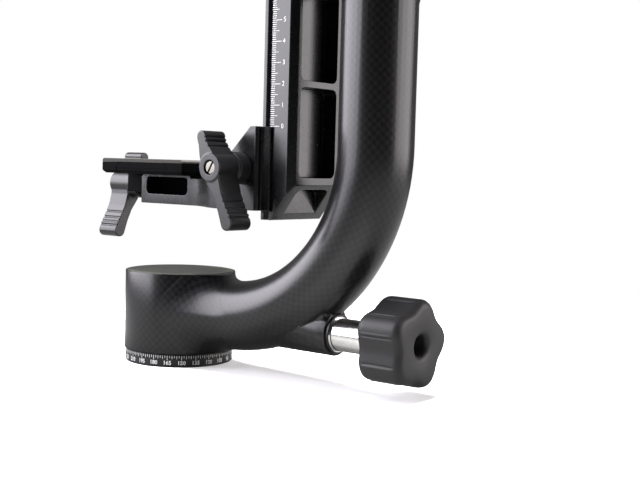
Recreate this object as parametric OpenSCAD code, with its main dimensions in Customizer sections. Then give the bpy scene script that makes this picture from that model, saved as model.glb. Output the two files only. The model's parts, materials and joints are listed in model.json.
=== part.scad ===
// Gimbal tripod head: a turning base, a bent tube arm, a hanging rail with a
// clamped L-shaped platform, and a dovetail clamp that carries the lens plate.
// Origin: centre of the base's underside. +Z up, +X from the pan axis to the
// arm's upright, +Y away from the side that carries the rail's wing lever.

/* [Base] */
// Radius of the degree ring
ring_r = 28.5; // [26:0.25:29]
// Height of the degree ring
ring_h = 6.5; // [5.5:0.25:8]
// Radius of the tripod thread hole
thread_r = 4.8; // [4:0.05:5.2]
// Depth of the tripod thread hole
thread_depth = 10.5; // [9:0.25:12]
// Radius of the spindle and of the tilt axle
spindle_r = 10; // [9:0.25:10.5]

/* [Arm] */
// Radius of both hubs
hub_r = 29.2; // [28.8:0.1:31]
// Height of the hub's top face above the floor
hub_top = 48.4; // [46.5:0.1:52]
// Outer radius of the tube
tube_r = 17.8; // [16.5:0.1:18.4]
// Wall of the tube
tube_wall = 3; // [2:0.25:4]
// Height of the tube's level stretch
tube_z = 27.8; // [27:0.1:30]
// Radius of the bend, on the tube's centreline
bend_r = 88; // [84:0.2:92]
// Distance from the pan axis to the upright
arm_x = 127.2; // [124:0.2:140]
// Height of the tilt axis
tilt_z = 214; // [206:1:226]
// Width of the upper hub
tilt_hub_w = 41.8; // [40:0.2:46]

/* [Locks] */
// Radius of the boss that the pan lock comes out of
boss_r = 10.6; // [10.4:0.1:11.5]
// Drop of the pan lock's axis below the tube's axis
lock_drop = 2.2; // [1.5:0.1:2.6]
// Radius of the knobs' metal shanks
shank_r = 8; // [7:0.1:8.2]
// Bare length of the pan lock's shank
shank_len = 23.3; // [18:0.1:30]
// Outer radius of a star knob
knob_r = 21.3; // [19:0.1:23]
// Depth of the valleys between its lobes
knob_dip = 3.5; // [2:0.1:4.5]
// Thickness of a star knob
knob_w = 24.5; // [20:0.5:28]
// Number of lobes
knob_lobes = 5; // [5:1:8]

/* [Rail] */
// Width of the rail, the common dovetail width
rail_w = 38; // [37:0.25:40]
// Thickness of the rail
rail_t = 19; // [18:0.25:21]
// Space between the rail and the upright
rail_gap = 17.1; // [16.5:0.1:20]
// Drop from the tilt axis to the rail's lower end
rail_drop = 134.8; // [130:0.2:140]
// Depth of the rail's pockets
pocket_d = 8.25; // [6:0.25:13.5]
// Width of the rail's pockets
pocket_w = 27; // [22:0.25:28]

/* [Platform] */
// Height of the clamp block on the rail
block_h = 40.3; // [38:0.1:44]
// Thickness of the clamp block's jaws beside the rail
jaw_t = 6; // [5.5:0.1:8]
// Half width of the platform's slim end
platform_y = 12.5; // [11:0.1:14]
// Half length of the pad under the lens clamp
pad_x = 18.6; // [17:0.1:18.7]
// Depth of the platform, underside to pad
platform_h = 15.6; // [15:0.1:17]
// Half width and half length of the lens plate
plate_x = 30; // [28:0.25:33]
// Half length of the lens plate
plate_y = 30; // [28:0.5:45]
// Half width of the lens plate's dovetail
dovetail_x = 19; // [18.8:0.05:19]

/* [Levers] */
// Reach of a wing lever's long end from its screw
lever_arm = 25.8; // [22:0.2:30]
// Depth of a wing lever along its screw
lever_d = 13.5; // [11:0.25:15]
// Radius of the boss behind a wing lever
lever_boss_r = 7.7; // [6.5:0.1:8.2]
// Radius of the clamp screws
screw_r = 2.5; // [2:0.1:2.8]

/* [Hidden] */
$fn = 96;
// Overrun of every cut past the face that it opens
eps = 0.5;
// Gap between faces that turn or slide past each other
run_gap = 0.3;
// Radial clearance of a running fit
run_fit = 0.05;
// Radial clearance of a part seated in its own bore
seat_fit = 0.04;
// Clearance of the flat sliding faces on the rail and on the lens plate
slide_gap = 0.1;
// Bevel on turned edges
bevel = 0.6;

// Bearings, the same in both hubs, between the spindle and the sleeve's wall
hub_wall = 4.2;
sleeve_wall = 5;
bore_r = hub_r - hub_wall;
ball_gap = 4;
race_w = 8;
ball_r = 2.5;
ball_clear = 0.12;
ball_count = 14;
race_t = (bore_r - sleeve_wall - spindle_r - ball_gap) / 2;
race_in_r = spindle_r + race_t;
race_out_r = race_in_r + ball_gap;
seat_r = race_out_r + race_t;
ball_track_r = (race_in_r + race_out_r) / 2;
shoulder_r = race_out_r + race_t / 3;

// Base
insert_r = 8;
thread_end = 1.5;
insert_len = thread_depth + thread_end;
flange_rim = 2;
flange_r = seat_r + flange_rim;
flange_t = 1.9;
flange_top = ring_h + flange_t;
race_z = flange_top + run_gap;
base_screw_r = 1.5;
base_screw_head_r = 2.8;
base_screw_ring_r = 18;
base_screw_count = 3;
base_screw_short = 0.4;
base_screw_len = ring_h + flange_t - base_screw_short;
nut_h = 2.6;
nut_r = race_in_r;
nut_neck_step = 2;
nut_neck_r = spindle_r - nut_neck_step;
cap_t = 2;
cap_rim = 0.8;
cap_r = hub_r - cap_rim;
cap_lip = 0.2;
cap_z = hub_top - cap_t;
nut_z = cap_z - run_gap - nut_h;
hub_z = ring_h + run_gap;

// Arm
level_x = arm_x - bend_r;
bend_z = tube_z + bend_r;
tube_in_r = tube_r - tube_wall;
tilt_x0 = arm_x - tilt_hub_w / 2;
tilt_x1 = arm_x + tilt_hub_w / 2;

// Pan lock, along +X through the level tube
lock_z = tube_z - lock_drop;
boss_out = 19.6;
boss_x = arm_x - boss_out;
bush_wall = 0.9;
bush_lip = 0.6;
bush_r = shank_r + bush_wall;
bush_flange_r = bush_r + bush_lip;
bush_flange_t = 1.4;
web_turn = 38;
web_r = 9;
web_out = 0.2;
web_end_r = 8.6;
web_rise = 3.6;
web_end = 1;
web_end_t = 3;
fillet_r = 4.2;
fillet_hub_side = 1.8;
fillet_tube_side = 6;
fillet_sink = 0.12;
fillet_steps = 6;
fillet_turns = 40;
bush_len = 22;
bush_x = boss_x - bush_len;
stud_r = 4;
nut_len = 9;
rod_r = 4;
shoe_r = 6;
shoe_len = 15;
shoe_x = spindle_r + run_gap;
rod_x = shoe_x + shoe_len;
stud_out = 6;
stud_x = bush_x - stud_out;
shank_hidden = 10;
shank_in = boss_x - shank_hidden;
knob_x = boss_x + bush_flange_t + shank_len;
shank_grip = knob_w / 2;
knob_turn = 6;
knob_front = 3.4;
knob_front_in = 3;
knob_back = 5.5;
knob_back_in = 4.2;
knob_round = 5;
knob_hole_r = 4.8;
knob_hole_d = 8;
knob_points = 100;

// Tilt axle, along X
disc_step = 1.2;
disc_r = hub_r - disc_step;
rail_x1 = arm_x - tube_r - rail_gap;
rail_x0 = rail_x1 - rail_t;
disc_x1 = tilt_x0 - run_gap;
axle_head_r = 15;
axle_head_t = 4.5;
race_inset = 1.2;
tilt_race_x0 = tilt_x0 + race_inset;
tilt_race_x1 = tilt_x1 - race_inset - race_w;
circlip_t = 1.4;
circlip_rise = 2;
circlip_r = spindle_r + circlip_rise;
axle_end = 0.4;
axle_x1 = tilt_race_x1 + race_w + circlip_t + axle_end;
axle_stud_r = 5;
axle_stud_len = 18;
cover_t = 2.4;
cover_hole_rim = 1;
cover_hole_r = circlip_r + cover_hole_rim;
cover_seat = 1;
cover_x = tilt_x1 - cover_seat;
cover_x1 = cover_x + cover_t;
washer_r = 19;
washer_t = 3;
tilt_shank_len = 7;
tilt_knob_x = cover_x1 + washer_t + tilt_shank_len;

// Rail
rail_z0 = tilt_z - rail_drop;
rail_over = 22;
rail_z1 = tilt_z + rail_over;
rail_y = rail_w / 2;
groove_x = 2.2;
groove_w = 2.7;
rail_bevel = 3;
end_slope_h = 17;
end_slope_x = 12.6;
end_slope_rim = 0.7;
end_rib_z = rail_z0 + end_slope_h + end_slope_rim;
end_rib_t = 3.1;
end_pocket_w = 23.5;
end_pocket_d = 10.4;
end_pocket_rim = 2;
rib_pitch = 46.2;
rib_t = 3.4;
rib_count = 2;
pocket_corner = 3;
rail_screw_r = 2;
rail_screw_head_r = 3.6;
rail_screw_head_t = 3;
rail_screw_y = 9;
rail_screw_z = 17;
rail_screw_len = 20;
stop_r = 1.25;
stop_len = 3;
stop_head_r = 1.8;
stop_head_t = 1.5;
stop_in_low = 2.2;
stop_in_high = 2.6;
stop_z0 = rail_z0 + stop_in_low;
stop_z1 = rail_z1 - stop_in_high;

// Platform bracket
block_y = rail_w / 2 + jaw_t;
block_rise = 4.4;
block_z0 = rail_z0 + block_rise;
block_z1 = block_z0 + block_h;
block_x1 = rail_x0 - slide_gap;
block_back = 22;
block_x0 = rail_x0 - block_back;
pad_z = block_z0 + platform_h;
pad_step = 1.5;
gusset_top = 2.4;
flare_points = 8;
hook_in = 6.6;
hook_x = rail_x0 + hook_in;
hook_grip = 2.6;
hook_y = rail_y + hook_grip;
jaw_split_y = 8;
jaw_gap = 0.5;
lever_back = 8.5;
lever_x = rail_x0 - lever_back;
lever_z = block_z0 + block_h / 2;
pin_r = 2.5;
pin_rise = 11;
pin_back = 4.4;
pin_x = rail_x0 - pin_back;
pin_y0 = -6;
pin_end = 3;
side_pocket_x0 = -14.4;
side_pocket_x1 = 16.2;
side_pocket_z0 = 5.2;
side_pocket_z1 = 1.5;
side_pocket_d = 8.5;
side_pocket_corner = 2.2;

// Lens clamp and lens plate
floor_t = 2.2;
floor_z = pad_z + floor_t;
plate_edge = 1.9;
dovetail_lip = 1.1;
dovetail_h = 3.65;
plate_gap = 0.05;
plate_z = floor_z + plate_gap;
jaw_top = plate_z + dovetail_h - plate_gap;
plate_top = plate_z + dovetail_h + plate_edge;
plate_bevel = 0.9;
clamp_x = plate_x;
clamp_y = plate_y;
clamp_bevel = 1.4;
lens_jaw_step = 0.5;
lens_jaw_y = platform_y - lens_jaw_step;
lens_jaw_drop = 8.6;
lens_screw_drop = 6;
lens_screw_z = pad_z - lens_screw_drop;
lens_screw_in = 14;
lens_screw_end = 2;
lens_jaw_x = -dovetail_x - run_fit;
clamp_screw_r = 2;
clamp_screw_head_r = 3.6;
clamp_screw_x0 = 2;
clamp_screw_x1 = 12.5;
clamp_screw_len = 9;
clamp_screw_head_t = 1.6;
pad_sheet_t = 0.5;
pad_sheet_x = 11;
pad_sheet_rim = 5;
pad_sheet_y = plate_y - pad_sheet_rim;
slot_w = 3.4;
slot_y = 17;
slot_y0 = 5;
camera_screw_r = 3.175;
camera_head_r = 6;
camera_head_t = 2.2;
camera_screw_y = 12;
stop_screw_r = 1.6;
stop_screw_rim = 3;
stop_screw_y = plate_y - stop_screw_rim;
stop_screw_drop = 1.4;

// Wing levers, in a plane across the screw: [along x, along y, half width],
// as shares of the long end's reach
lever_hub_r = 6.6;
lever_hub_proud = 0.6;
lever_boss_len = 7;
lever_shares = [
  [-0.2403, 0.5581, 0.1124],
  [-0.2016, 0.4419, 0.1124],
  [-0.1395, 0.2791, 0.155],
  [0, 0, 0.232],
  [0.08527, -0.2868, 0.155],
  [0.2016, -0.5194, 0.107],
  [0.3101, -0.7364, 0.1124],
  [0.3798, -0.8837, 0.1279],
  [0.4225, -1, 0.1318]
];
lever_line = [for (share = lever_shares) lever_arm * share];
lever_grip_points = [0.35, 1, 1.65, 5.6, 6.2, 6.8, 7.4];
lever_grip_r = 0.55;
lever_cap_points = 8;
lever_head_rim = 0.3;
lever_head_r = screw_r + lever_head_rim;
lever_head_t = 1.2;
lever_recess_rim = 0.6;
lever_recess_r = lever_head_r + lever_recess_rim;
lever_recess_d = 2;
lever_slot = 0.8;
lever_slot_turn = 60;

// A cylinder along X from x0 to x1, centred on y, z
module x_rod(r, x0, x1, z = 0, y = 0) {
  translate([x0, y, z]) rotate([0, 90, 0]) cylinder(r = r, h = x1 - x0);
}

// A cylinder along Y from y0 to y1, centred on x, z
module y_rod(r, y0, y1, x = 0, z = 0) {
  translate([x, y0, z]) rotate([-90, 0, 0]) cylinder(r = r, h = y1 - y0);
}

// A cylinder along Z from z0 to z1
module z_rod(r, z0, z1, x = 0, y = 0) {
  translate([x, y, z0]) cylinder(r = r, h = z1 - z0);
}

// A ring about Z, turned from its section
module z_ring(r0, r1, z0, z1) {
  difference() {
    z_rod(r1, z0, z1);
    z_rod(r0, z0 - eps, z1 + eps);
  }
}

// The same ring about X at the height z
module x_ring(r0, r1, x0, x1, z = 0) {
  translate([0, 0, z]) rotate([0, 90, 0]) z_ring(r0, r1, x0, x1);
}

// A block between two corners
module block(low, high) {
  translate(low) cube(high - low);
}

// Points of a rectangle between two corners, with round corners
function round_box(x0, y0, x1, y1, r) = [
  for (corner = [[x1 - r, y1 - r, 0], [x0 + r, y1 - r, 90], [x0 + r, y0 + r, 180], [x1 - r, y0 + r, 270]])
    for (turn = [0:22.5:90])
      [corner[0] + r * cos(corner[2] + turn), corner[1] + r * sin(corner[2] + turn)]
];

// Both bearings' balls on one shaft, along Z from each start
module ball_rings(starts) {
  for (start = starts)
    for (i = [0:ball_count - 1])
      rotate([0, 0, 360 * i / ball_count])
        translate([ball_track_r, 0, start + race_w / 2])
          sphere(r = ball_r, $fn = 32);
}

// One race: a ring with a ball groove
module race(r0, r1, start) {
  difference() {
    z_ring(r0, r1, start, start + race_w);
    translate([0, 0, start + race_w / 2])
      rotate_extrude() translate([ball_track_r, 0]) circle(r = ball_r + ball_clear);
  }
}

// Countersunk screw along Z, head at z = 0 and shank upwards
module flush_screw(r, head_r, head_t, len) {
  difference() {
    union() {
      cylinder(r1 = head_r, r2 = r, h = head_t);
      cylinder(r = r, h = len);
    }
    translate([0, 0, -eps]) cylinder(r = r, h = eps + head_t / 2, $fn = 6);
  }
}

// Room for a flush screw
module flush_seat(r, head_r, head_t, len) {
  translate([0, 0, -eps]) cylinder(r = head_r + seat_fit, h = eps + seat_fit);
  cylinder(r1 = head_r + seat_fit, r2 = r + seat_fit, h = head_t);
  translate([0, 0, seat_fit]) cylinder(r = r + seat_fit, h = len);
}

// Outline of a star knob
function star_outline() = [
  for (i = [0:knob_points - 1])
    let (turn = 360 * i / knob_points)
      (knob_r - knob_dip / 2 + knob_dip / 2 * cos(knob_lobes * turn)) * [cos(turn), sin(turn)]
];

// Star knob along Z, its near face at z = 0
module star_knob(bore, bore_len) {
  difference() {
    intersection() {
      linear_extrude(height = knob_w) polygon(star_outline());
      rotate_extrude() polygon(concat(
        [[0, 0]],
        [for (i = [0:knob_round])
          let (turn = 90 * i / knob_round)
            [knob_r - knob_back_in * (1 - sin(turn)), knob_back * (1 - cos(turn))]],
        [for (i = [0:knob_round])
          let (turn = 90 * i / knob_round)
            [knob_r - knob_front_in * (1 - cos(turn)), knob_w - knob_front * (1 - sin(turn))]],
        [[0, knob_w]]
      ));
    }
    translate([0, 0, -eps]) cylinder(r = bore, h = bore_len + eps);
    translate([0, 0, knob_w - knob_hole_d]) cylinder(r = knob_hole_r, h = knob_hole_d + eps);
    translate([0, 0, knob_w - knob_hole_r / 3])
      cylinder(r1 = knob_hole_r, r2 = knob_hole_r + knob_hole_r / 2, h = knob_hole_r / 2);
  }
}

// Turns a piece made along Z to lie along X, its x on Y and its y on Z
module along_x(x, z) {
  translate([x, 0, z]) rotate([90, 0, 90]) children();
}

// Direction across the lever's centreline at point i
function lever_side(i) =
  let (
    a = lever_line[max(i - 1, 0)],
    b = lever_line[min(i + 1, len(lever_line) - 1)],
    run = [b[0] - a[0], b[1] - a[1]]
  ) [run[1], -run[0]] / norm(run);

// Round end of the lever about its first or last point
function lever_cap(i, from) =
  let (side = lever_side(i), start = atan2(side[1], side[0]) + from) [
    for (k = [1:lever_cap_points - 1])
      let (turn = start - 180 * k / lever_cap_points)
        [lever_line[i][0] + lever_line[i][2] * cos(turn), lever_line[i][1] + lever_line[i][2] * sin(turn)]
  ];

// Point beside the centreline: way is 1 on one side and -1 on the other
function lever_edge(i, way) =
  [lever_line[i][0], lever_line[i][1]] + way * lever_line[i][2] * lever_side(i);

// Place of a grip groove, t points along the lever's free edge
function lever_grip(t) =
  let (i = floor(t), f = t - i) lever_edge(i, -1) * (1 - f) + lever_edge(i + 1, -1) * f;

// Outline of the lever
function lever_outline() =
  let (last = len(lever_line) - 1)
    concat(
      [for (i = [0:last]) lever_edge(i, -1)],
      lever_cap(last, 180),
      [for (i = [last:-1:0]) lever_edge(i, 1)],
      lever_cap(0, 0)
    );

// Wing lever along Z, its boss standing on z = 0
module wing_lever() {
  difference() {
    union() {
      cylinder(r = lever_boss_r, h = lever_boss_len);
      translate([0, 0, lever_boss_len - eps / 2])
        linear_extrude(height = lever_d + eps / 2) polygon(lever_outline());
      translate([0, 0, lever_boss_len - eps])
        cylinder(r = lever_hub_r, h = eps + lever_d + lever_hub_proud);
    }
    translate([0, 0, -eps]) cylinder(r = screw_r + seat_fit, h = lever_reach() + eps);
    translate([0, 0, lever_reach() - lever_recess_d])
      cylinder(r = lever_recess_r, h = lever_recess_d + eps);
    for (t = lever_grip_points)
      translate([lever_grip(t)[0], lever_grip(t)[1], lever_boss_len - eps])
        cylinder(r = lever_grip_r, h = lever_d + 2 * eps, $fn = 16);
  }
}

// Distance from the lever's seat to its front face
function lever_reach() = lever_boss_len + lever_d + lever_hub_proud;

// Clamp screw along Z through a lever: slotted head in front, thread behind z = 0
module lever_screw(thread_len) {
  head_z = lever_reach() - lever_recess_d;
  difference() {
    union() {
      translate([0, 0, -thread_len]) cylinder(r = screw_r, h = thread_len + head_z + seat_fit);
      translate([0, 0, head_z]) cylinder(r = lever_head_r, h = lever_head_t);
    }
    rotate([0, 0, lever_slot_turn])
      translate([-lever_head_r - eps, -lever_slot / 2, head_z + lever_head_t / 2])
        cube([2 * (lever_head_r + eps), lever_slot, lever_head_t]);
  }
}

// Base plate with the degree ring
module base_ring() {
  color([0.07, 0.07, 0.08]) difference() {
    rotate_extrude() polygon([
      [insert_r + seat_fit, 0],
      [ring_r - bevel, 0],
      [ring_r, bevel],
      [ring_r, ring_h - bevel / 2],
      [ring_r - bevel / 2, ring_h],
      [insert_r + seat_fit, ring_h]
    ]);
    base_screw_places() flush_seat(base_screw_r, base_screw_head_r, base_screw_head_r, ring_h + eps);
  }
}

// Places of the screws under the base
module base_screw_places() {
  for (i = [0:base_screw_count - 1])
    rotate([0, 0, 360 * i / base_screw_count]) translate([base_screw_ring_r, 0, 0]) children();
}

// Threaded steel insert for the tripod's stud
module thread_insert() {
  color([0.72, 0.72, 0.74]) difference() {
    z_rod(insert_r, 0, insert_len);
    z_rod(thread_r, -eps, thread_depth);
  }
}

// Fixed post that the head turns on
module pan_spindle() {
  color([0.62, 0.62, 0.64]) difference() {
    union() {
      z_rod(flange_r, ring_h, flange_top);
      z_rod(race_in_r, ring_h, race_z);
      z_rod(spindle_r, ring_h, nut_z);
      z_rod(nut_neck_r, ring_h, nut_z + nut_h);
    }
    z_rod(insert_r + seat_fit, ring_h - eps, insert_len);
    base_screw_places() z_rod(base_screw_r + seat_fit, ring_h - eps, base_screw_len + seat_fit);
  }
}

// Screws that hold the base plate to the spindle
module spindle_screws() {
  color([0.55, 0.55, 0.57]) base_screw_places()
    flush_screw(base_screw_r, base_screw_head_r, base_screw_head_r, base_screw_len);
}

// Ring nut that keeps the head on its spindle
module spindle_nut() {
  color([0.55, 0.55, 0.57]) difference() {
    z_ring(nut_neck_r + seat_fit, nut_r, nut_z, nut_z + nut_h);
    for (turn = [0, 90])
      rotate([0, 0, turn])
        block([-nut_r - eps, -nut_h / 2, nut_z + nut_h / 2], [nut_r + eps, nut_h / 2, nut_z + nut_h + eps]);
  }
}

// Start heights of the two pan bearings
function pan_starts() = [race_z, nut_z - race_w];

// Races that sit on the spindle
module pan_inner_races() {
  color([0.8, 0.8, 0.82]) for (start = pan_starts()) race(spindle_r + seat_fit, race_in_r, start);
}

// Races that sit in the hub
module pan_outer_races() {
  color([0.8, 0.8, 0.82]) for (start = pan_starts()) race(race_out_r, seat_r - seat_fit, start);
}

// Balls of the pan bearings
module pan_bearing_balls() {
  color([0.9, 0.9, 0.92]) ball_rings(pan_starts());
}

// One bearing sleeve along Z, bored at both ends and shouldered between
module bearing_sleeve(z0, z1, starts) {
  difference() {
    z_rod(bore_r - seat_fit, z0, z1);
    z_rod(shoulder_r, z0 - eps, z1 + eps);
    z_rod(seat_r, z0 - eps, starts[0] + race_w);
    z_rod(seat_r, starts[1], z1 + eps);
  }
}

// Aluminium sleeve in the lower hub, with the brake shoe's bore
module pan_housing() {
  color([0.5, 0.5, 0.52]) difference() {
    bearing_sleeve(race_z, cap_z, pan_starts());
    x_rod(shoe_r + run_fit, 0, bore_r + eps, lock_z);
  }
}

// Tube stretches at a given radius: level, bend and upright
module tube_run(r, x0, z1) {
  x_rod(r, x0, level_x, tube_z);
  translate([level_x, 0, bend_z]) rotate([90, 0, 0]) rotate([0, 0, -90])
    rotate_extrude(angle = 90) translate([bend_r, 0]) circle(r = r);
  z_rod(r, bend_z, z1, arm_x);
}

// Ring of the blend between a hub across X and the tube along Z, from the
// hub's side at share 0 to the tube's side at share 1
function fillet_ring(share) = [
  for (i = [0:fillet_turns - 1])
    let (
      turn = 360 * i / fillet_turns,
      out = tube_r + fillet_r + fillet_hub_side * abs(sin(turn)),
      root = sqrt(pow(hub_r, 2) - pow(tube_r * sin(turn), 2)),
      foot = sqrt(pow(hub_r, 2) - pow(out * sin(turn), 2)) - fillet_sink,
      end = root + fillet_r + fillet_tube_side * abs(sin(turn)),
      ways = [pow(1 - share, 2), 2 * share * (1 - share), pow(share, 2)],
      r = ways * [out, tube_r, tube_r - fillet_sink]
    ) [r * cos(turn), r * sin(turn), ways * [foot, root, end]]
];

// Concave fillet between a hub and the tube, along Z from the hub's axis
module tube_fillet() {
  low = hub_r / 2;
  rings = fillet_steps + 2;
  points = concat(
    [for (p = fillet_ring(0)) [p[0], p[1], low]],
    [for (k = [0:fillet_steps]) each fillet_ring(k / fillet_steps)],
    [[0, 0, low], [0, 0, hub_r]]
  );
  polyhedron(
    points,
    [
      for (k = [0:rings - 2]) for (i = [0:fillet_turns - 1])
        let (
          a = k * fillet_turns + i,
          b = k * fillet_turns + (i + 1) % fillet_turns,
          c = a + fillet_turns,
          d = b + fillet_turns
        ) each [[a, c, d], [a, d, b]],
      for (i = [0:fillet_turns - 1]) [rings * fillet_turns, i, (i + 1) % fillet_turns],
      for (i = [0:fillet_turns - 1])
        [
          rings * fillet_turns + 1,
          (rings - 1) * fillet_turns + (i + 1) % fillet_turns,
          (rings - 1) * fillet_turns + i
        ]
    ]
  );
}

// Web that carries the boss's end on the bend
module lock_web() {
  reach = bend_r + tube_r + web_out - web_r;
  hull() {
    translate([level_x + reach * sin(web_turn), 0, bend_z - reach * cos(web_turn)]) sphere(r = web_r, $fn = 32);
    translate([boss_x - web_end - web_end_t, 0, lock_z + web_rise])
      rotate([0, 90, 0]) cylinder(r = web_end_r, h = web_end_t, $fn = 32);
  }
}

// Moulded carbon arm: lower hub, tube, lock boss and upper hub, hollow all through
module carbon_arm() {
  color([0.13, 0.13, 0.14]) difference() {
    union() {
      z_rod(hub_r, hub_z, hub_top - cap_lip);
      tube_run(tube_r, hub_r / 2, tilt_z);
      x_rod(boss_r, level_x + tube_r, boss_x, lock_z);
      x_rod(hub_r, tilt_x0, tilt_x1, tilt_z);
      lock_web();
      intersection() {
        translate([0, 0, tube_z]) rotate([0, 90, 0]) tube_fillet();
        block([0, -hub_r, hub_z], [arm_x, hub_r, hub_top - cap_lip]);
      }
      intersection() {
        translate([arm_x, 0, tilt_z]) mirror([0, 0, 1]) tube_fillet();
        block([tilt_x0, -hub_r, bend_z], [tilt_x1, hub_r, tilt_z]);
      }
    }
    z_rod(bore_r, hub_z - eps, hub_top);
    z_rod(cap_r + seat_fit, cap_z, hub_top + eps);
    tube_run(tube_in_r, bore_r - tube_wall, tilt_z);
    x_rod(bore_r, tilt_x0 - eps, tilt_x1 + eps, tilt_z);
    x_rod(cap_r + seat_fit, cover_x, tilt_x1 + eps, tilt_z);
    x_rod(bush_r + seat_fit, bush_x, boss_x + eps, lock_z);
    x_rod(stud_r + run_gap, level_x, bush_x + eps, lock_z);
  }
}

// Cap over the pan axis
module hub_cap() {
  color([0.34, 0.34, 0.31]) rotate_extrude() polygon([
    [0, cap_z],
    [cap_r, cap_z],
    [cap_r, hub_top - cap_lip],
    [cap_r - bevel, hub_top],
    [0, hub_top]
  ]);
}

// Steel bush in the boss: a bore for the shank and a threaded nut behind it
module lock_bush() {
  color([0.75, 0.75, 0.76]) difference() {
    union() {
      x_rod(bush_r, bush_x, boss_x, lock_z);
      x_rod(bush_flange_r, boss_x, boss_x + bush_flange_t, lock_z);
    }
    x_rod(shank_r + run_fit, bush_x + nut_len, boss_x + bush_flange_t + eps, lock_z);
    x_rod(stud_r + run_fit, bush_x - eps, boss_x, lock_z);
  }
}

// Brake shoe, hollowed to the spindle
module pan_brake_shoe() {
  color([0.5, 0.42, 0.25]) difference() {
    x_rod(shoe_r, 0, rod_x, lock_z);
    z_rod(shoe_x, 0, hub_top);
  }
}

// Rod that carries the knob's push to the shoe
module pan_push_rod() {
  color([0.7, 0.7, 0.72]) x_rod(rod_r, rod_x, stud_x, lock_z);
}

// Star knob of the pan lock
module pan_knob() {
  color([0.16, 0.16, 0.17]) along_x(knob_x, lock_z) rotate([0, 0, knob_turn])
    star_knob(shank_r + seat_fit, shank_grip);
}

// Plated shank and stud of the pan lock
module pan_knob_shank() {
  color([0.85, 0.84, 0.82]) {
    x_rod(shank_r, shank_in, knob_x + shank_grip, lock_z);
    x_rod(stud_r, stud_x, shank_in + eps, lock_z);
  }
}

// Start places of the two tilt bearings along the axle
function tilt_starts() = [tilt_race_x0, tilt_race_x1];

// Turns a piece made about Z to lie about the tilt axis
module on_tilt() {
  translate([0, 0, tilt_z]) rotate([0, 90, 0]) children();
}

// Aluminium sleeve in the upper hub
module tilt_housing() {
  color([0.5, 0.5, 0.52]) on_tilt() bearing_sleeve(tilt_x0, cover_x, tilt_starts());
}

// Cover ring on the upper hub, which the tilt lock presses on
module tilt_cover() {
  color([0.34, 0.34, 0.31]) on_tilt() rotate_extrude() polygon([
    [cover_hole_r, cover_x],
    [cap_r, cover_x],
    [cap_r, cover_x1 - bevel],
    [cap_r - bevel, cover_x1],
    [cover_hole_r, cover_x1]
  ]);
}

// Races of the tilt bearings that sit in the hub
module tilt_outer_races() {
  color([0.8, 0.8, 0.82]) on_tilt()
    for (start = tilt_starts()) race(race_out_r, seat_r - seat_fit, start);
}

// Balls of the tilt bearings
module tilt_bearing_balls() {
  color([0.9, 0.9, 0.92]) on_tilt() ball_rings(tilt_starts());
}

// Races of the tilt bearings that sit on the axle
module tilt_inner_races() {
  color([0.8, 0.8, 0.82]) on_tilt()
    for (start = tilt_starts()) race(spindle_r + seat_fit, race_in_r, start);
}

// Tube that keeps the two inner races apart
module tilt_spacer() {
  color([0.5, 0.5, 0.52])
    x_ring(spindle_r + seat_fit, race_in_r, tilt_race_x0 + race_w, tilt_race_x1, tilt_z);
}

// Ring that keeps the axle in its bearings
module tilt_circlip() {
  color([0.3, 0.3, 0.32])
    x_ring(spindle_r + seat_fit, circlip_r, tilt_race_x1 + race_w, tilt_race_x1 + race_w + circlip_t, tilt_z);
}

// Disc that joins the rail to the axle
module swing_disc() {
  color([0.08, 0.08, 0.09]) difference() {
    on_tilt() rotate_extrude() polygon([
      [spindle_r + seat_fit, rail_x1],
      [disc_r - bevel, rail_x1],
      [disc_r, rail_x1 + bevel],
      [disc_r, disc_x1 - bevel],
      [disc_r - bevel, disc_x1],
      [race_in_r, disc_x1],
      [race_in_r, tilt_race_x0],
      [spindle_r + seat_fit, tilt_race_x0]
    ]);
    x_rod(axle_head_r + seat_fit, rail_x1 - eps, rail_x1 + axle_head_t, tilt_z);
    rail_screw_places() cylinder(r = rail_screw_r + seat_fit, h = rail_screw_len + eps);
  }
}

// Axle with its head behind the disc and its stud for the tilt knob
module tilt_axle() {
  color([0.62, 0.62, 0.64]) {
    x_rod(axle_head_r, rail_x1, rail_x1 + axle_head_t, tilt_z);
    x_rod(spindle_r, rail_x1, axle_x1, tilt_z);
    x_rod(axle_stud_r, rail_x1, axle_x1 + axle_stud_len, tilt_z);
  }
}

// Places of the screws through the rail, heads sunk in its outer face
module rail_screw_places() {
  for (y = [-rail_screw_y, rail_screw_y])
    for (z = [-rail_screw_z, rail_screw_z])
      translate([rail_x0, y, tilt_z + z]) rotate([0, 90, 0]) children();
}

// Screws that hold the rail to the disc
module rail_screws() {
  color([0.3, 0.3, 0.32]) rail_screw_places()
    flush_screw(rail_screw_r, rail_screw_head_r, rail_screw_head_t, rail_screw_len);
}

// Section of the rail: dovetail lip, groove, scale face and bevel
function rail_half() = [
  [rail_x0, rail_y],
  [rail_x0 + groove_x, rail_y],
  [rail_x0 + groove_x + groove_w, rail_y - groove_w],
  [rail_x0 + groove_x + groove_w, rail_y],
  [rail_x1 - rail_bevel, rail_y],
  [rail_x1, rail_y - rail_bevel]
];

// Dovetail rail that hangs from the tilt axle
module swing_rail() {
  color([0.06, 0.06, 0.07]) difference() {
    translate([0, 0, rail_z0]) linear_extrude(height = rail_z1 - rail_z0) polygon(concat(
      rail_half(),
      [for (i = [len(rail_half()) - 1:-1:0]) [rail_half()[i][0], -rail_half()[i][1]]]
    ));
    rail_end_cut();
    rail_pocket(end_pocket_w, end_pocket_d, rail_z0 - end_slope_h, rail_z0 + end_slope_h - end_pocket_rim);
    for (i = [0:rib_count - 1])
      rail_pocket(pocket_w, pocket_d, rib_z(i), rib_z(i + 1) - rib_t);
    rail_screw_places() flush_seat(rail_screw_r, rail_screw_head_r, rail_screw_head_t, rail_t + eps);
    for (z = [stop_z0, stop_z1]) x_rod(stop_r + seat_fit, rail_x0 - eps, rail_x0 + stop_len + seat_fit, z);
  }
}

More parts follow.
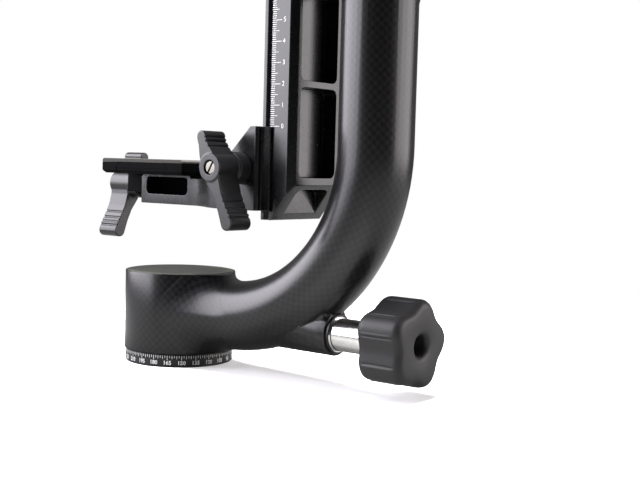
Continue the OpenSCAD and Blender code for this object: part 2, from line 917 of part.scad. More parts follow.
// The slope under the rail's lower end
module rail_end_cut() {
  rotate([90, 0, 0]) translate([0, 0, -rail_w]) linear_extrude(height = 2 * rail_w) polygon([
    [rail_x1 - end_slope_x, rail_z0],
    [rail_x1 - end_slope_x, rail_z0 - eps],
    [rail_x1 + eps, rail_z0 - eps],
    [rail_x1 + eps, rail_z0 + end_slope_h],
    [rail_x1, rail_z0 + end_slope_h]
  ]);
}

// Lower edge of pocket i in the rail
function rib_z(i) = end_rib_z + end_rib_t + i * rib_pitch;

// A pocket in the rail's inner face
module rail_pocket(w, d, z0, z1) {
  along_x(rail_x1 - d, 0) linear_extrude(height = d + eps)
    polygon(round_box(-w / 2, z0, w / 2, z1, pocket_corner));
}

// Stop screws on the rail's back, which keep the bracket on it
module rail_stop_screws() {
  color([0.55, 0.55, 0.57]) for (z = [stop_z0, stop_z1]) {
    x_rod(stop_r, rail_x0 - stop_head_t, rail_x0 + stop_len, z);
    x_rod(stop_head_r, rail_x0 - stop_head_t, rail_x0, z);
  }
}

// Pressure washer of the tilt lock
module tilt_washer() {
  color([0.12, 0.12, 0.13]) difference() {
    on_tilt() rotate_extrude() polygon([
      [axle_stud_r + run_fit, cover_x1],
      [washer_r, cover_x1],
      [washer_r, cover_x1 + washer_t - bevel],
      [washer_r - bevel, cover_x1 + washer_t],
      [axle_stud_r + run_fit, cover_x1 + washer_t]
    ]);
    x_rod(spindle_r + run_gap, cover_x1 - eps, axle_x1 + run_gap, tilt_z);
  }
}

// Star knob of the tilt lock
module tilt_knob() {
  color([0.16, 0.16, 0.17]) along_x(tilt_knob_x, tilt_z) rotate([0, 0, knob_turn])
    star_knob(shank_r + seat_fit, shank_grip);
}

// Plated shank of the tilt lock, threaded on the axle's stud
module tilt_knob_shank() {
  color([0.85, 0.84, 0.82])
    x_ring(axle_stud_r + run_fit, shank_r, cover_x1 + washer_t, tilt_knob_x + shank_grip, tilt_z);
}

// Side view of the bracket: platform, gusset and clamp block
function bracket_side() =
  let (slope = block_z1 - (pad_z - pad_step)) [
    [-pad_x, block_z0],
    [block_x1, block_z0],
    [block_x1, block_z1],
    [block_x1 - gusset_top, block_z1],
    [block_x1 - gusset_top - slope, pad_z - pad_step],
    [pad_x, pad_z - pad_step],
    [pad_x, pad_z],
    [-pad_x + pad_step, pad_z],
    [-pad_x, pad_z - pad_step]
  ];

// Half of the bracket's plan: slim under the clamp, flared to the block
function bracket_plan(side) =
  let (x0 = pad_x, x1 = block_x0 - jaw_gap) concat(
    [[-pad_x, 0], [-pad_x, side * platform_y]],
    [
      for (i = [0:flare_points])
        [x0 + (x1 - x0) * i / flare_points,
         side * (platform_y + (block_y - platform_y) * (1 - cos(180 * i / flare_points)) / 2)]
    ],
    [[block_x1, side * block_y], [block_x1, 0]]
  );

// Outline of the near jaw, hooked into the rail's groove: side is 1 or -1 in Y
function hook_plan(side, x0) = [
  [x0, side * block_y],
  [rail_x0 + groove_x / 2, side * block_y],
  [rail_x0 + groove_x, side * (block_y - groove_x / 2)],
  [rail_x0 + groove_x, side * hook_y],
  [hook_x, side * (hook_y - groove_x / 2)],
  [hook_x, side * (rail_y + slide_gap)],
  [rail_x0 + groove_x + groove_w - slide_gap, side * (rail_y + slide_gap)],
  [rail_x0 + groove_x + groove_w - slide_gap, side * (rail_y - groove_w + 3 * slide_gap)],
  [rail_x0 + groove_x + slide_gap / 2, side * (rail_y + slide_gap)],
  [x0, side * (rail_y + slide_gap)]
];

// Prism of a plan outline over the clamp block's height
module block_prism(points) {
  translate([0, 0, block_z0]) linear_extrude(height = block_h) polygon(points);
}

// Prism of the bracket's side view over its width
module side_prism() {
  translate([0, 2 * block_y, 0]) rotate([90, 0, 0]) linear_extrude(height = 4 * block_y) polygon(bracket_side());
}

// L-shaped bracket with the near jaw
module platform_bracket() {
  color([0.09, 0.09, 0.1]) difference() {
    union() {
      intersection() {
        side_prism();
        union() {
          block_prism(bracket_plan(1));
          block_prism(bracket_plan(-1));
        }
      }
      block_prism(hook_plan(-1, block_x1 - eps));
    }
    block([block_x0 - jaw_gap, jaw_split_y, block_z0 - eps], [block_x1 + eps, block_y + eps, block_z1 + eps]);
    side_pocket(-1);
    side_pocket(1);
    y_rod(screw_r + run_fit, -block_y - eps, jaw_split_y + eps, lever_x, lever_z);
    for (way = [-1, 1]) y_rod(pin_r + seat_fit, pin_y0, jaw_split_y + eps, pin_x, lever_z + way * pin_rise);
    x_rod(screw_r + run_fit, -pad_x - eps, lens_screw_in - pad_x, lens_screw_z);
    clamp_screw_places() z_rod(clamp_screw_r + seat_fit, pad_z - clamp_screw_len, pad_z + eps);
  }
}

// Lightening pocket in one side of the platform
module side_pocket(side) {
  translate([0, side * (platform_y + eps), 0]) rotate([90, 0, 0]) translate([0, 0, side < 0 ? -side_pocket_d - eps : 0])
    linear_extrude(height = side_pocket_d + eps)
      polygon(round_box(side_pocket_x0, block_z0 + side_pocket_z0, side_pocket_x1, pad_z - side_pocket_z1, side_pocket_corner));
}

// Dowels that guide the far jaw
module jaw_pins() {
  color([0.7, 0.7, 0.72]) for (way = [-1, 1])
    y_rod(pin_r, pin_y0, block_y - pin_end, pin_x, lever_z + way * pin_rise);
}

// Far jaw of the rail clamp, which the lever draws in
module rail_jaw() {
  color([0.07, 0.07, 0.08]) difference() {
    union() {
      intersection() {
        side_prism();
        block([block_x0, jaw_split_y + jaw_gap, block_z0], [block_x1, block_y, block_z1]);
      }
      block_prism(hook_plan(1, block_x1 - eps));
    }
    y_rod(screw_r + run_fit, 0, block_y + eps, lever_x, lever_z);
    for (way = [-1, 1]) y_rod(pin_r + run_fit, 0, block_y - pin_end + eps, pin_x, lever_z + way * pin_rise);
  }
}

// Wing lever of the rail clamp
module rail_lever() {
  color([0.14, 0.14, 0.15]) rail_lever_place() wing_lever();
}

// Place of the rail clamp's lever and screw
module rail_lever_place() {
  translate([lever_x, -block_y - slide_gap, lever_z]) rotate([90, 0, 0]) children();
}

// Screw of the rail clamp, slotted head in the lever's face
module rail_clamp_screw() {
  color([0.8, 0.8, 0.8]) rail_lever_place() lever_screw(2 * block_y - pin_end);
}

// Places of the screws under the lens clamp
module clamp_screw_places() {
  for (x = [clamp_screw_x0, clamp_screw_x1]) translate([x, 0, 0]) children();
}

// Section of the dovetail that the clamp holds, widened by a clearance
function dovetail_side(way, clear) = [
  [way * (dovetail_x + clear), plate_z],
  [way * (dovetail_x + clear), plate_z + dovetail_lip],
  [way * (dovetail_x + clear - dovetail_h + dovetail_lip), plate_z + dovetail_h]
];

// Extrudes a section in X and Z over a half length in Y
module y_prism(points, half) {
  translate([0, half, 0]) rotate([90, 0, 0]) linear_extrude(height = 2 * half) polygon(points);
}

// Bevels under the clamp's near and far edges
module clamp_edges() {
  for (way = [-1, 1])
    rotate([90, 0, 90]) translate([0, 0, -clamp_x - eps]) linear_extrude(height = 2 * (clamp_x + eps)) polygon([
      [way * clamp_y, pad_z + clamp_bevel],
      [way * (clamp_y - clamp_bevel), pad_z],
      [way * (clamp_y - clamp_bevel), pad_z - eps],
      [way * (clamp_y + eps), pad_z - eps],
      [way * (clamp_y + eps), pad_z + clamp_bevel]
    ]);
}

// Base of the lens clamp with its fixed jaw
module lens_clamp_base() {
  color([0.05, 0.05, 0.06]) difference() {
    y_prism(concat(
      [[lens_jaw_x + jaw_gap, pad_z], [clamp_x - clamp_bevel, pad_z], [clamp_x, pad_z + clamp_bevel], [clamp_x, jaw_top]],
      [for (i = [2:-1:1]) [dovetail_side(1, run_fit)[i][0], min(dovetail_side(1, run_fit)[i][1], jaw_top)]],
      [[dovetail_x + run_fit, floor_z], [lens_jaw_x + jaw_gap, floor_z]]
    ), clamp_y);
    clamp_edges();
    clamp_screw_places() translate([0, 0, floor_z]) mirror([0, 0, 1])
      flush_seat(clamp_screw_r, clamp_screw_head_r, clamp_screw_head_t, floor_t + eps);
  }
}

// Screws that hold the clamp's base to the platform
module clamp_base_screws() {
  color([0.3, 0.3, 0.32]) clamp_screw_places() translate([0, 0, floor_z]) mirror([0, 0, 1])
    flush_screw(clamp_screw_r, clamp_screw_head_r, clamp_screw_head_t, clamp_screw_len);
}

// Moving jaw of the lens clamp, hung beside the platform's end
module lens_clamp_jaw() {
  color([0.05, 0.05, 0.06]) difference() {
    union() {
      difference() {
        y_prism([
          [lens_jaw_x, pad_z],
          [lens_jaw_x, plate_z + dovetail_lip],
          [dovetail_side(-1, run_fit)[2][0], jaw_top],
          [-clamp_x, jaw_top],
          [-clamp_x, pad_z + clamp_bevel],
          [-clamp_x + clamp_bevel, pad_z]
        ], clamp_y);
        clamp_edges();
      }
      block([-clamp_x, -lens_jaw_y, pad_z - lens_jaw_drop - clamp_bevel], [lens_jaw_x, lens_jaw_y, floor_z]);
    }
    x_rod(screw_r + run_fit, -clamp_x - eps, 0, lens_screw_z);
  }
}

// Place of the lens clamp's lever and screw
module lens_lever_place() {
  translate([-clamp_x - slide_gap, 0, lens_screw_z]) rotate([90, 0, -90]) children();
}

// Wing lever of the lens clamp
module lens_lever() {
  color([0.14, 0.14, 0.15]) lens_lever_place() wing_lever();
}

// Screw of the lens clamp
module lens_clamp_screw() {
  color([0.8, 0.8, 0.8]) lens_lever_place() lever_screw(clamp_x - pad_x + lens_screw_in - lens_screw_end);
}

// Lens plate with its dovetail
module lens_plate() {
  color([0.3, 0.3, 0.29]) difference() {
    y_prism(concat(
      dovetail_side(1, 0),
      [
        [plate_x, plate_top - plate_edge],
        [plate_x, plate_top - plate_bevel],
        [plate_x - plate_bevel, plate_top],
        [-plate_x + plate_bevel, plate_top],
        [-plate_x, plate_top - plate_bevel],
        [-plate_x, plate_top - plate_edge]
      ],
      [for (i = [2:-1:0]) dovetail_side(-1, 0)[i]]
    ), plate_y);
    block([-pad_sheet_x, -pad_sheet_y, plate_top - pad_sheet_t], [pad_sheet_x, pad_sheet_y, plate_top + eps]);
    for (way = [-1, 1]) {
      plate_slot(way, slot_w, 0, plate_z - eps, plate_top + eps);
      plate_slot(way, camera_head_r + run_gap, camera_head_r - camera_screw_r, plate_z - eps, plate_z + camera_head_t + run_gap);
      z_rod(stop_screw_r + seat_fit, plate_z - eps, plate_z + dovetail_h, 0, way * stop_screw_y);
    }
  }
}

// A slot along Y in the plate, on the side way, of half width r, longer by more at each end
module plate_slot(way, r, more, z0, z1) {
  near = way * (slot_y0 - more);
  far = way * (slot_y + more);
  block([-r, min(near, far), z0], [r, max(near, far), z1]);
}

// Rubber sheet on the plate
module plate_pad() {
  color([0.1, 0.1, 0.1]) difference() {
    block([-pad_sheet_x, -pad_sheet_y, plate_top - pad_sheet_t], [pad_sheet_x, pad_sheet_y, plate_top]);
    for (way = [-1, 1]) plate_slot(way, slot_w, 0, plate_z, plate_top + eps);
  }
}

// Captive screws for the lens foot, slid down flush
module camera_screws() {
  color([0.75, 0.75, 0.76]) for (way = [-1, 1]) difference() {
    union() {
      z_rod(camera_head_r, plate_z, plate_z + camera_head_t, 0, way * camera_screw_y);
      z_rod(camera_screw_r, plate_z, plate_top - pad_sheet_t, 0, way * camera_screw_y);
    }
    block(
      [-camera_head_r - eps, way * camera_screw_y - lever_slot / 2, plate_z - eps],
      [camera_head_r + eps, way * camera_screw_y + lever_slot / 2, plate_z + camera_head_t / 2]
    );
  }
}

// Safety screws under the plate's ends
module plate_stop_screws() {
  color([0.55, 0.55, 0.57]) for (way = [-1, 1])
    z_rod(stop_screw_r, plate_z, plate_z + dovetail_h, 0, way * stop_screw_y);
}

base_ring();
thread_insert();
pan_spindle();
spindle_screws();
spindle_nut();
pan_inner_races();
carbon_arm();
pan_housing();
hub_cap();
pan_outer_races();
pan_bearing_balls();
lock_bush();
tilt_housing();
tilt_cover();
tilt_outer_races();
tilt_bearing_balls();
pan_brake_shoe();
pan_push_rod();
pan_knob();
pan_knob_shank();
swing_disc();
tilt_axle();
tilt_inner_races();
tilt_spacer();
tilt_circlip();
swing_rail();
rail_screws();
rail_stop_screws();
tilt_washer();
tilt_knob();
tilt_knob_shank();
platform_bracket();
jaw_pins();
lens_clamp_base();
clamp_base_screws();
rail_jaw();
rail_lever();
rail_clamp_screw();
lens_clamp_jaw();
lens_lever();
lens_clamp_screw();
lens_plate();
plate_pad();
camera_screws();
plate_stop_screws();
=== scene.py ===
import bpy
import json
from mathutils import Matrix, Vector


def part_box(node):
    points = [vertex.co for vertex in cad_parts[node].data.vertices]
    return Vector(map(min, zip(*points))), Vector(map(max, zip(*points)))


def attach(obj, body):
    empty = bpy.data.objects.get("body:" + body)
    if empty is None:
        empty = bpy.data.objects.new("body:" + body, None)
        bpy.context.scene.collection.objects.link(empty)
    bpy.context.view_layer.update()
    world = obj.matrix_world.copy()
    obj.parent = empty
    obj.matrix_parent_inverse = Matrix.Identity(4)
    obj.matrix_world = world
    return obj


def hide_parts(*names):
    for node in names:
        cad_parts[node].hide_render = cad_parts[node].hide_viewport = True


bl_info = {
    "name": "Gimbal Head Dressing",
    "version": (1, 0, 0),
    "blender": (4, 5, 0),
    "location": "3D View > Sidebar > Gimbal Head",
    "description": "Finishes, engraved scales, knobs and softened edges for a gimbal tripod head",
    "category": "Object",
}

import json
import math

import bmesh
import bpy
from mathutils import Matrix, Vector

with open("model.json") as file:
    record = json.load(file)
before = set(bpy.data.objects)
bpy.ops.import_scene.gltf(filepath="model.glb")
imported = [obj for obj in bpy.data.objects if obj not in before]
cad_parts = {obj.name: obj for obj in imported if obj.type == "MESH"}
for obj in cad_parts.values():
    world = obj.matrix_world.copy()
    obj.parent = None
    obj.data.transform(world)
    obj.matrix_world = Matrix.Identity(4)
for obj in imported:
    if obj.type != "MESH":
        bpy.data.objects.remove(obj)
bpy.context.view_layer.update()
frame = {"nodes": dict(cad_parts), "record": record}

SLOTS = {row["node"]: row["material_slot"] for row in frame["record"]["subparts"]}
BODY = {
    node: body
    for body, nodes in frame["record"]["behaviour"]["bodies"].items()
    for node in nodes
}
MM = 0.001
RING_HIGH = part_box("base_ring")[1]
RAIL_LOW, RAIL_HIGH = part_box("swing_rail")
COVER_LOW, COVER_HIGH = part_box("tilt_cover")
SHANK_LOW, SHANK_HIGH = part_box("pan_knob_shank")

# The arm's tube and hubs, and where the weave turns round the hubs, in millimetres
RAIL_TO_TUBE = 34.9
TUBE_X = RAIL_HIGH.x / MM + RAIL_TO_TUBE
TUBE_Z = 27.8
BEND_R = 88.0
ARM_HUB_R = 29.2
ARM_TUBE_R = 17.8
ARM_BLEND_TOP = 48.15
TILT_Z = (COVER_LOW.z + COVER_HIGH.z) / 2 / MM
HUB_WEAVE_R = ARM_HUB_R + 1.2
PAN_WEAVE_TOP = 49.0
TILT_WEAVE_X = 105.0

# Where the finish changes on one solid, in millimetres; pairs are the ends of a blend or of a range
# Painted shade: from this depth in, and within these X and Z ranges, the platform's side pockets are painted
# dull black
POCKET_FLOOR = 4.0
POCKET_SHADE_FADE = (POCKET_FLOOR + 5.5, POCKET_FLOOR + 1.0)
POCKET_X = (-15.0, 16.8)
POCKET_Z = (88.0, 98.5)
# Painted shade: below this height the lens plate is painted dull black
DECK_SHADE_Z = (105.1, 105.25)
# Painted shade: half widths over which a screw's driver slot turns black
SCREW_SLOT_SHADE_HALF = (0.62, 0.5)
# Painted shade: radii at which the bush turns from its nickel lip to painted black
BUSH_LIP_R = (8.65, 8.5)
LEVER_SLOT_TURN = math.radians(60)
RAIL_SCREW = [sum(pair) / 2 / MM for pair in zip(*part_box("rail_clamp_screw"))]
LENS_SCREW = [sum(pair) / 2 / MM for pair in zip(*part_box("lens_clamp_screw"))]
PAN_SHANK = (0.0, 0.0, (SHANK_LOW.z + SHANK_HIGH.z) / 2 / MM)

# Where the scales' marks and numbers stand, in millimetres
RAIL_TICK_X = 78.2
RAIL_DIGIT_X = 85.0
RAIL_SCALE_END = 2.5
RING_TICK_DROP = 0.35
RING_DIGIT_Z = 2.25

# A star knob's groove and ridge: degrees from the lobe's middle, spread in degrees, depth in millimetres
KNOB_GROOVE = (16.5, 1.1, 0.5)
KNOB_RIDGE = (14.2, 1.6, 0.3)

NICKEL = (0.82, 0.81, 0.79)
SCREW_CREAM = (0.2, 0.19, 0.165)
# Painted shade: the black painted into the screw slots and onto the bush outside its lip
PAINTED_SHADE_BLACK = (0.004, 0.004, 0.004)
DULL = {"roughness": 0.55, "specular": 0.02}
finishes = {}


# ---- Sizes and colours that a user would change


class CarbonSettings(bpy.types.PropertyGroup):
    """Woven carbon arm"""

    weave: bpy.props.FloatProperty(
        name="Weave repeat", description="Length of one repeat of the weave along the tube",
        default=4.06 * MM, min=0.0005, unit="LENGTH",
    )
    # Painted sheen: the cross yarns are painted darker and the long yarns lighter, for the light each catches
    dark: bpy.props.FloatVectorProperty(
        name="Cross yarns", description="Colour of the yarns that lie away from the light",
        default=(0.0022, 0.002, 0.0022), size=3, min=0, max=1, subtype="COLOR",
    )
    light: bpy.props.FloatVectorProperty(
        name="Long yarns", description="Colour of the yarns that catch the light",
        default=(0.009, 0.0083, 0.009), size=3, min=0, max=1, subtype="COLOR",
    )


class MetalSettings(bpy.types.PropertyGroup):
    """Anodised and plated parts"""

    rail: bpy.props.FloatVectorProperty(
        name="Black anodised", description="Colour of the rail, the platform and the jaws",
        default=(0.0025, 0.0025, 0.0028), size=3, min=0, max=1, subtype="COLOR",
    )
    # Partly painted highlight: the paler edge colour also stands in for the bright lines the light draws
    # along the broken edges
    edge: bpy.props.FloatVectorProperty(
        name="Worn edge", description="Colour that the black anodised edges wear to",
        default=(0.03, 0.03, 0.034), size=3, min=0, max=1, subtype="COLOR",
    )
    cap: bpy.props.FloatVectorProperty(
        name="Hub cap", description="Colour of the turned cap over the pan axis",
        default=(0.088, 0.091, 0.077), size=3, min=0, max=1, subtype="COLOR",
    )
    plate: bpy.props.FloatVectorProperty(
        name="Lens plate", description="Colour of the lens plate",
        default=(0.075, 0.072, 0.068), size=3, min=0, max=1, subtype="COLOR",
    )
    edge_round: bpy.props.FloatProperty(
        name="Edge rounding", description="Width of the broken edges of the milled parts",
        default=0.4 * MM, min=0, unit="LENGTH",
    )


class ScaleSettings(bpy.types.PropertyGroup):
    """Printed scales"""

    ink: bpy.props.FloatVectorProperty(
        name="Print", description="Colour of the ticks and numbers",
        default=(0.78, 0.78, 0.77), size=3, min=0, max=1, subtype="COLOR",
    )
    rail_zero: bpy.props.FloatProperty(
        name="Rail zero", description="Height of the rail scale's zero mark",
        default=124.08 * MM, unit="LENGTH",
    )
    rail_digit: bpy.props.FloatProperty(
        name="Rail digits", description="Letter size of the rail scale's numbers",
        default=3.2 * MM, min=0, unit="LENGTH",
    )
    ring_digit: bpy.props.FloatProperty(
        name="Ring digits", description="Letter size of the degree ring's numbers",
        default=2.9 * MM, min=0, unit="LENGTH",
    )
    ring_step: bpy.props.IntProperty(
        name="Degrees per number", description="Degrees between two numbers on the ring",
        default=15, min=5, max=90,
    )
    ring_start: bpy.props.FloatProperty(
        name="Ring zero", description="Angle of the degree ring's zero from +X",
        default=math.radians(108.36), subtype="ANGLE",
    )


class KnobSettings(bpy.types.PropertyGroup):
    """Star knobs and wing levers"""

    rubber: bpy.props.FloatVectorProperty(
        name="Knob", description="Colour of the rubberised star knobs",
        default=(0.0105, 0.01, 0.0105), size=3, min=0, max=1, subtype="COLOR",
    )
    lever: bpy.props.FloatVectorProperty(
        name="Lever", description="Colour of the wing levers",
        default=(0.005, 0.005, 0.0055), size=3, min=0, max=1, subtype="COLOR",
    )
    dip: bpy.props.FloatProperty(
        name="Valley depth", description="Depth of the valleys between a star knob's lobes",
        default=3.5 * MM, min=0, unit="LENGTH",
    )
    lobes: bpy.props.IntProperty(
        name="Lobes", description="Number of lobes of a star knob", default=5, min=3, max=9,
    )
    turn: bpy.props.FloatProperty(
        name="Knob turn", description="Turn of the star knobs on their shanks",
        default=math.radians(6), subtype="ANGLE",
    )
    voxel: bpy.props.FloatProperty(
        name="Lever grid", description="Grid at which the wing levers are rounded",
        default=0.28 * MM, min=0.0001, unit="LENGTH",
    )


class StageSettings(bpy.types.PropertyGroup):
    """Floor, lamps and camera"""

    left: bpy.props.FloatProperty(
        name="Left softbox", description="Power of the softbox on the left",
        default=22.0, min=0, unit="POWER",
    )
    right: bpy.props.FloatProperty(
        name="Right softbox", description="Power of the softbox on the right",
        default=7.6, min=0, unit="POWER",
    )
    top: bpy.props.FloatProperty(
        name="Top light", description="Power of the light overhead, which no surface mirrors",
        default=34.0, min=0, unit="POWER",
    )
    ambient: bpy.props.FloatProperty(
        name="Ambient", description="Brightness of the dark studio in front of the object",
        default=0.03, min=0,
    )
    backdrop: bpy.props.FloatProperty(
        name="Backdrop", description="Brightness of the backdrop in reflections",
        default=0.22, min=0,
    )
    paper: bpy.props.FloatProperty(
        name="Paper", description="Glow of the paper floor in reflections",
        default=0.04, min=0,
    )
    front: bpy.props.FloatProperty(
        name="Paper in front", description="Glow in reflections of the paper floor in front of the pan knob",
        default=0.6, min=0,
    )
    lift: bpy.props.FloatProperty(
        name="Paper lift", description="Glow of the paper floor as the camera sees it",
        default=0.3, min=0,
    )
    lens: bpy.props.FloatProperty(
        name="Lens", description="Focal length of the camera",
        default=63.534, min=1, unit="CAMERA",
    )


class HeadSettings(bpy.types.PropertyGroup):
    """All settings of the head"""

    carbon: bpy.props.PointerProperty(type=CarbonSettings, name="Carbon", description="Woven carbon arm")
    metal: bpy.props.PointerProperty(
        type=MetalSettings, name="Metal", description="Anodised and plated parts",
    )
    scale: bpy.props.PointerProperty(type=ScaleSettings, name="Scales", description="Printed scales")
    knob: bpy.props.PointerProperty(type=KnobSettings, name="Knobs", description="Star knobs and wing levers")
    stage: bpy.props.PointerProperty(type=StageSettings, name="Stage", description="Floor, lamps and camera")


# ---- Node trees written as expressions


class Value:
    """An output socket of a tree; arithmetic on it adds Math nodes"""

    def __init__(self, tree, socket):
        self.tree, self.socket = tree, socket

    def __add__(self, other):
        return self.tree.math("ADD", self, other)

    __radd__ = __add__

    def __mul__(self, other):
        return self.tree.math("MULTIPLY", self, other)

    def __sub__(self, other):
        return self.tree.math("SUBTRACT", self, other)

    def __rsub__(self, other):
        return self.tree.math("SUBTRACT", other, self)

    def __gt__(self, other):
        return self.tree.math("GREATER_THAN", self, other)

    def __lt__(self, other):
        return self.tree.math("LESS_THAN", self, other)

    def __mod__(self, other):
        return self.tree.math("MODULO", self, other)


class Tree:
    """A node tree whose nodes are all added through one method"""

    def __init__(self, tree):
        self.tree = tree

    def node(self, kind, settings=None, inputs=None, output=0):
        made = self.tree.nodes.new(kind)
        for key, value in (settings or {}).items():
            if key == "stops":
                self.stops(made.color_ramp, value)
            else:
                setattr(made, key, value)
        self.put(made, inputs or {})
        return Value(self, made.outputs[output])

    def put(self, made, inputs):
        for key, value in inputs.items():
            if isinstance(value, Value):
                self.tree.links.new(value.socket, made.inputs[key])
            else:
                made.inputs[key].default_value = value

    def stops(self, ramp, stops):
        while len(ramp.elements) < len(stops):
            ramp.elements.new(1.0)
        for element, (place, colour) in zip(ramp.elements, stops):
            element.position, element.color = place, (*colour, 1.0)

    def math(self, operation, *values):
        return self.node("ShaderNodeMath", {"operation": operation}, dict(enumerate(values)))

    def ease(self, value, low, high):
        """0 below low, 1 above high, smooth between"""
        return self.node(
            "ShaderNodeMapRange", {"interpolation_type": "SMOOTHSTEP"},
            {"Value": value, "From Min": low, "From Max": high},
        )


class Finish(Tree):
    """A surface finish: one Principled shader and what drives it"""

    def __init__(self, name, **constants):
        self.material = bpy.data.materials.new(name)
        self.material.use_nodes = True
        super().__init__(self.material.node_tree)
        self.tree.nodes.clear()
        self.shader = self.tree.nodes.new("ShaderNodeBsdfPrincipled")
        self.surface = Value(self, self.shader.outputs[0])
        self.output = self.tree.nodes.new("ShaderNodeOutputMaterial")
        self.put(self.output, {0: self.surface})
        self.set(**constants)

    def set(self, **inputs):
        self.put(self.shader, {key.replace("_", " "): value for key, value in inputs.items()})

    def base_colour(self):
        """What drives the base colour so far"""
        return Value(self, self.shader.inputs["Base Color"].links[0].from_socket)

    def here(self, centre=(0, 0, 0)):
        """Object coordinates in millimetres from a centre in millimetres"""
        place = self.node("ShaderNodeTexCoord", output="Object")
        place = self.node("ShaderNodeVectorMath", {"operation": "SCALE"}, {0: place, "Scale": 1000.0})
        return self.node("ShaderNodeVectorMath", {"operation": "SUBTRACT"}, {0: place, 1: centre})

    def reach(self, centre):
        """Distance in millimetres from a centre in millimetres"""
        return self.node("ShaderNodeVectorMath", {"operation": "LENGTH"}, {0: self.here(centre)}, "Value")

    def axes(self, vector):
        made = self.tree.nodes.new("ShaderNodeSeparateXYZ")
        self.put(made, {0: vector})
        return [Value(self, socket) for socket in made.outputs]

    def noise(self, size, detail=2.0, vector=None):
        """Noise from 0 to 1 with features of about size millimetres"""
        return self.node(
            "ShaderNodeTexNoise", {"noise_dimensions": "3D"},
            {"Vector": vector or self.here(), "Scale": 1.0 / size, "Detail": detail},
        )

    def mix(self, share, first, second):
        made = self.tree.nodes.new("ShaderNodeMix")
        made.data_type = "RGBA"
        self.put(made, {0: share, 6: first, 7: second})
        return Value(self, made.outputs[2])

    def bump(self, height, depth, strength=1.0):
        """A bump whose height of 1 stands depth millimetres proud"""
        inputs = {"Strength": strength, "Distance": depth * MM, "Height": height}
        self.set(Normal=self.node("ShaderNodeBump", {}, inputs))


def rgba(colour):
    return (*colour[:3], 1.0)


def grey(level):
    return (level, level, level, 1.0)


# ---- Finishes


def carbon_finish(settings):
    """Plain weave at 45 degrees under satin lacquer, laid along the tube and round both hubs; the lighter and
    darker yarns are a painted sheen of one black fibre
    """
    made = Finish("woven carbon", Specular_IOR_Level=0.5)
    x, y, z = made.axes(made.here())
    pitch = settings.weave / MM
    level_x, bend_z = TUBE_X - BEND_R, TUBE_Z + BEND_R
    across = made.math("MAXIMUM", x - level_x, 0.0)
    below = made.math("MAXIMUM", bend_z - z, 0.0)
    bend = made.math("ARCTAN2", across, below)
    along = made.math("MINIMUM", x, level_x) + bend * BEND_R + made.math("MAXIMUM", z - bend_z, 0.0)
    out = BEND_R - made.math("SQRT", across * across + below * below)
    around = made.math("ARCTAN2", out, y)

    pan_turn = made.math("ARCTAN2", y, x)
    pan_hub = (x * x + y * y < HUB_WEAVE_R ** 2) * (z < PAN_WEAVE_TOP)
    from_tilt = z - TILT_Z
    tilt_turn = made.math("ARCTAN2", y, from_tilt)
    tilt_hub = (y * y + from_tilt * from_tilt < HUB_WEAVE_R ** 2) * (x > TILT_WEAVE_X)

    def lay(tube, pan, tilt):
        mixed = tube + pan_hub * (pan - tube)
        return mixed + tilt_hub * (tilt - mixed)

    tube_count, hub_count = (round(2 * math.pi * r / pitch) for r in (ARM_TUBE_R, ARM_HUB_R))
    wave = 2 * math.pi / pitch
    u = lay(along * wave, z * wave, x * wave)
    v = lay(around * tube_count, pan_turn * hub_count, tilt_turn * hub_count)
    weave = made.math("COSINE", u) * made.math("COSINE", v)
    top = made.ease(weave, -0.3, 0.3)
    crown = made.math("ABSOLUTE", weave)
    fleck = made.noise(0.5, 1.0)
    # Painted sheen: cells where the long yarn lies on top are painted lighter than cells where the cross yarn
    # does
    shade = made.mix(top, rgba(settings.dark), rgba(settings.light))
    shade = made.mix(made.ease(fleck, 0.35, 0.75) * 0.25, shade, rgba([c * 1.5 for c in settings.light]))
    made.set(Base_Color=shade, Roughness=0.29 + top * 0.015)
    made.bump(made.math("MINIMUM", crown, 0.8), 0.018, 0.5)
    return made


def anodised_finish(name, colour, worn, roughness=0.24, specular=0.54):
    """Matt anodised aluminium: fine blasted grain, and paler where the edges are broken, partly wear and
    partly a painted highlight along the edges
    """
    made = Finish(name, Metallic=0.0, Specular_IOR_Level=specular)
    edge = made.node("ShaderNodeAttribute", {"attribute_name": "broken_edge"}, output="Fac")
    cloud = made.noise(9.0, 3.0)
    grain = made.noise(0.12, 2.0)
    shade = made.mix(made.ease(cloud, 0.3, 0.75) * 0.35, rgba(colour), rgba([c * 1.35 for c in colour]))
    # Paler broken edges: partly wear, partly a painted highlight along each edge
    shade = made.mix(edge * made.ease(made.noise(2.5, 3.0), 0.25, 0.6) * 0.35, shade, rgba(worn))
    made.set(Base_Color=shade, Roughness=roughness + cloud * 0.06 - edge * 0.08)
    made.bump(grain, 0.012, 0.35)
    return made


def bracket_finish(metal):
    """Black anodised, with painted shade down in the pockets of the platform's sides, where a dull black
    diffuse takes the place of the shine
    """
    made = anodised_finish("bracket anodised", metal.rail, metal.edge)
    x, y, z = made.axes(made.here())
    # Painted shade: deep in the side pockets the shine gives way to a dull black diffuse
    pocket_shade_depth = made.ease(made.math("ABSOLUTE", y), *POCKET_SHADE_FADE)
    painted_pocket_shade = pocket_shade_depth * (x > POCKET_X[0]) * (x < POCKET_X[1]) * (z < POCKET_Z[1]) * (z > POCKET_Z[0])
    dull = made.node("ShaderNodeBsdfDiffuse", {}, {"Color": rgba(metal.rail)})
    both = made.node("ShaderNodeMixShader", {}, {0: painted_pocket_shade, 1: made.surface, 2: dull})
    made.put(made.output, {0: both})
    return made


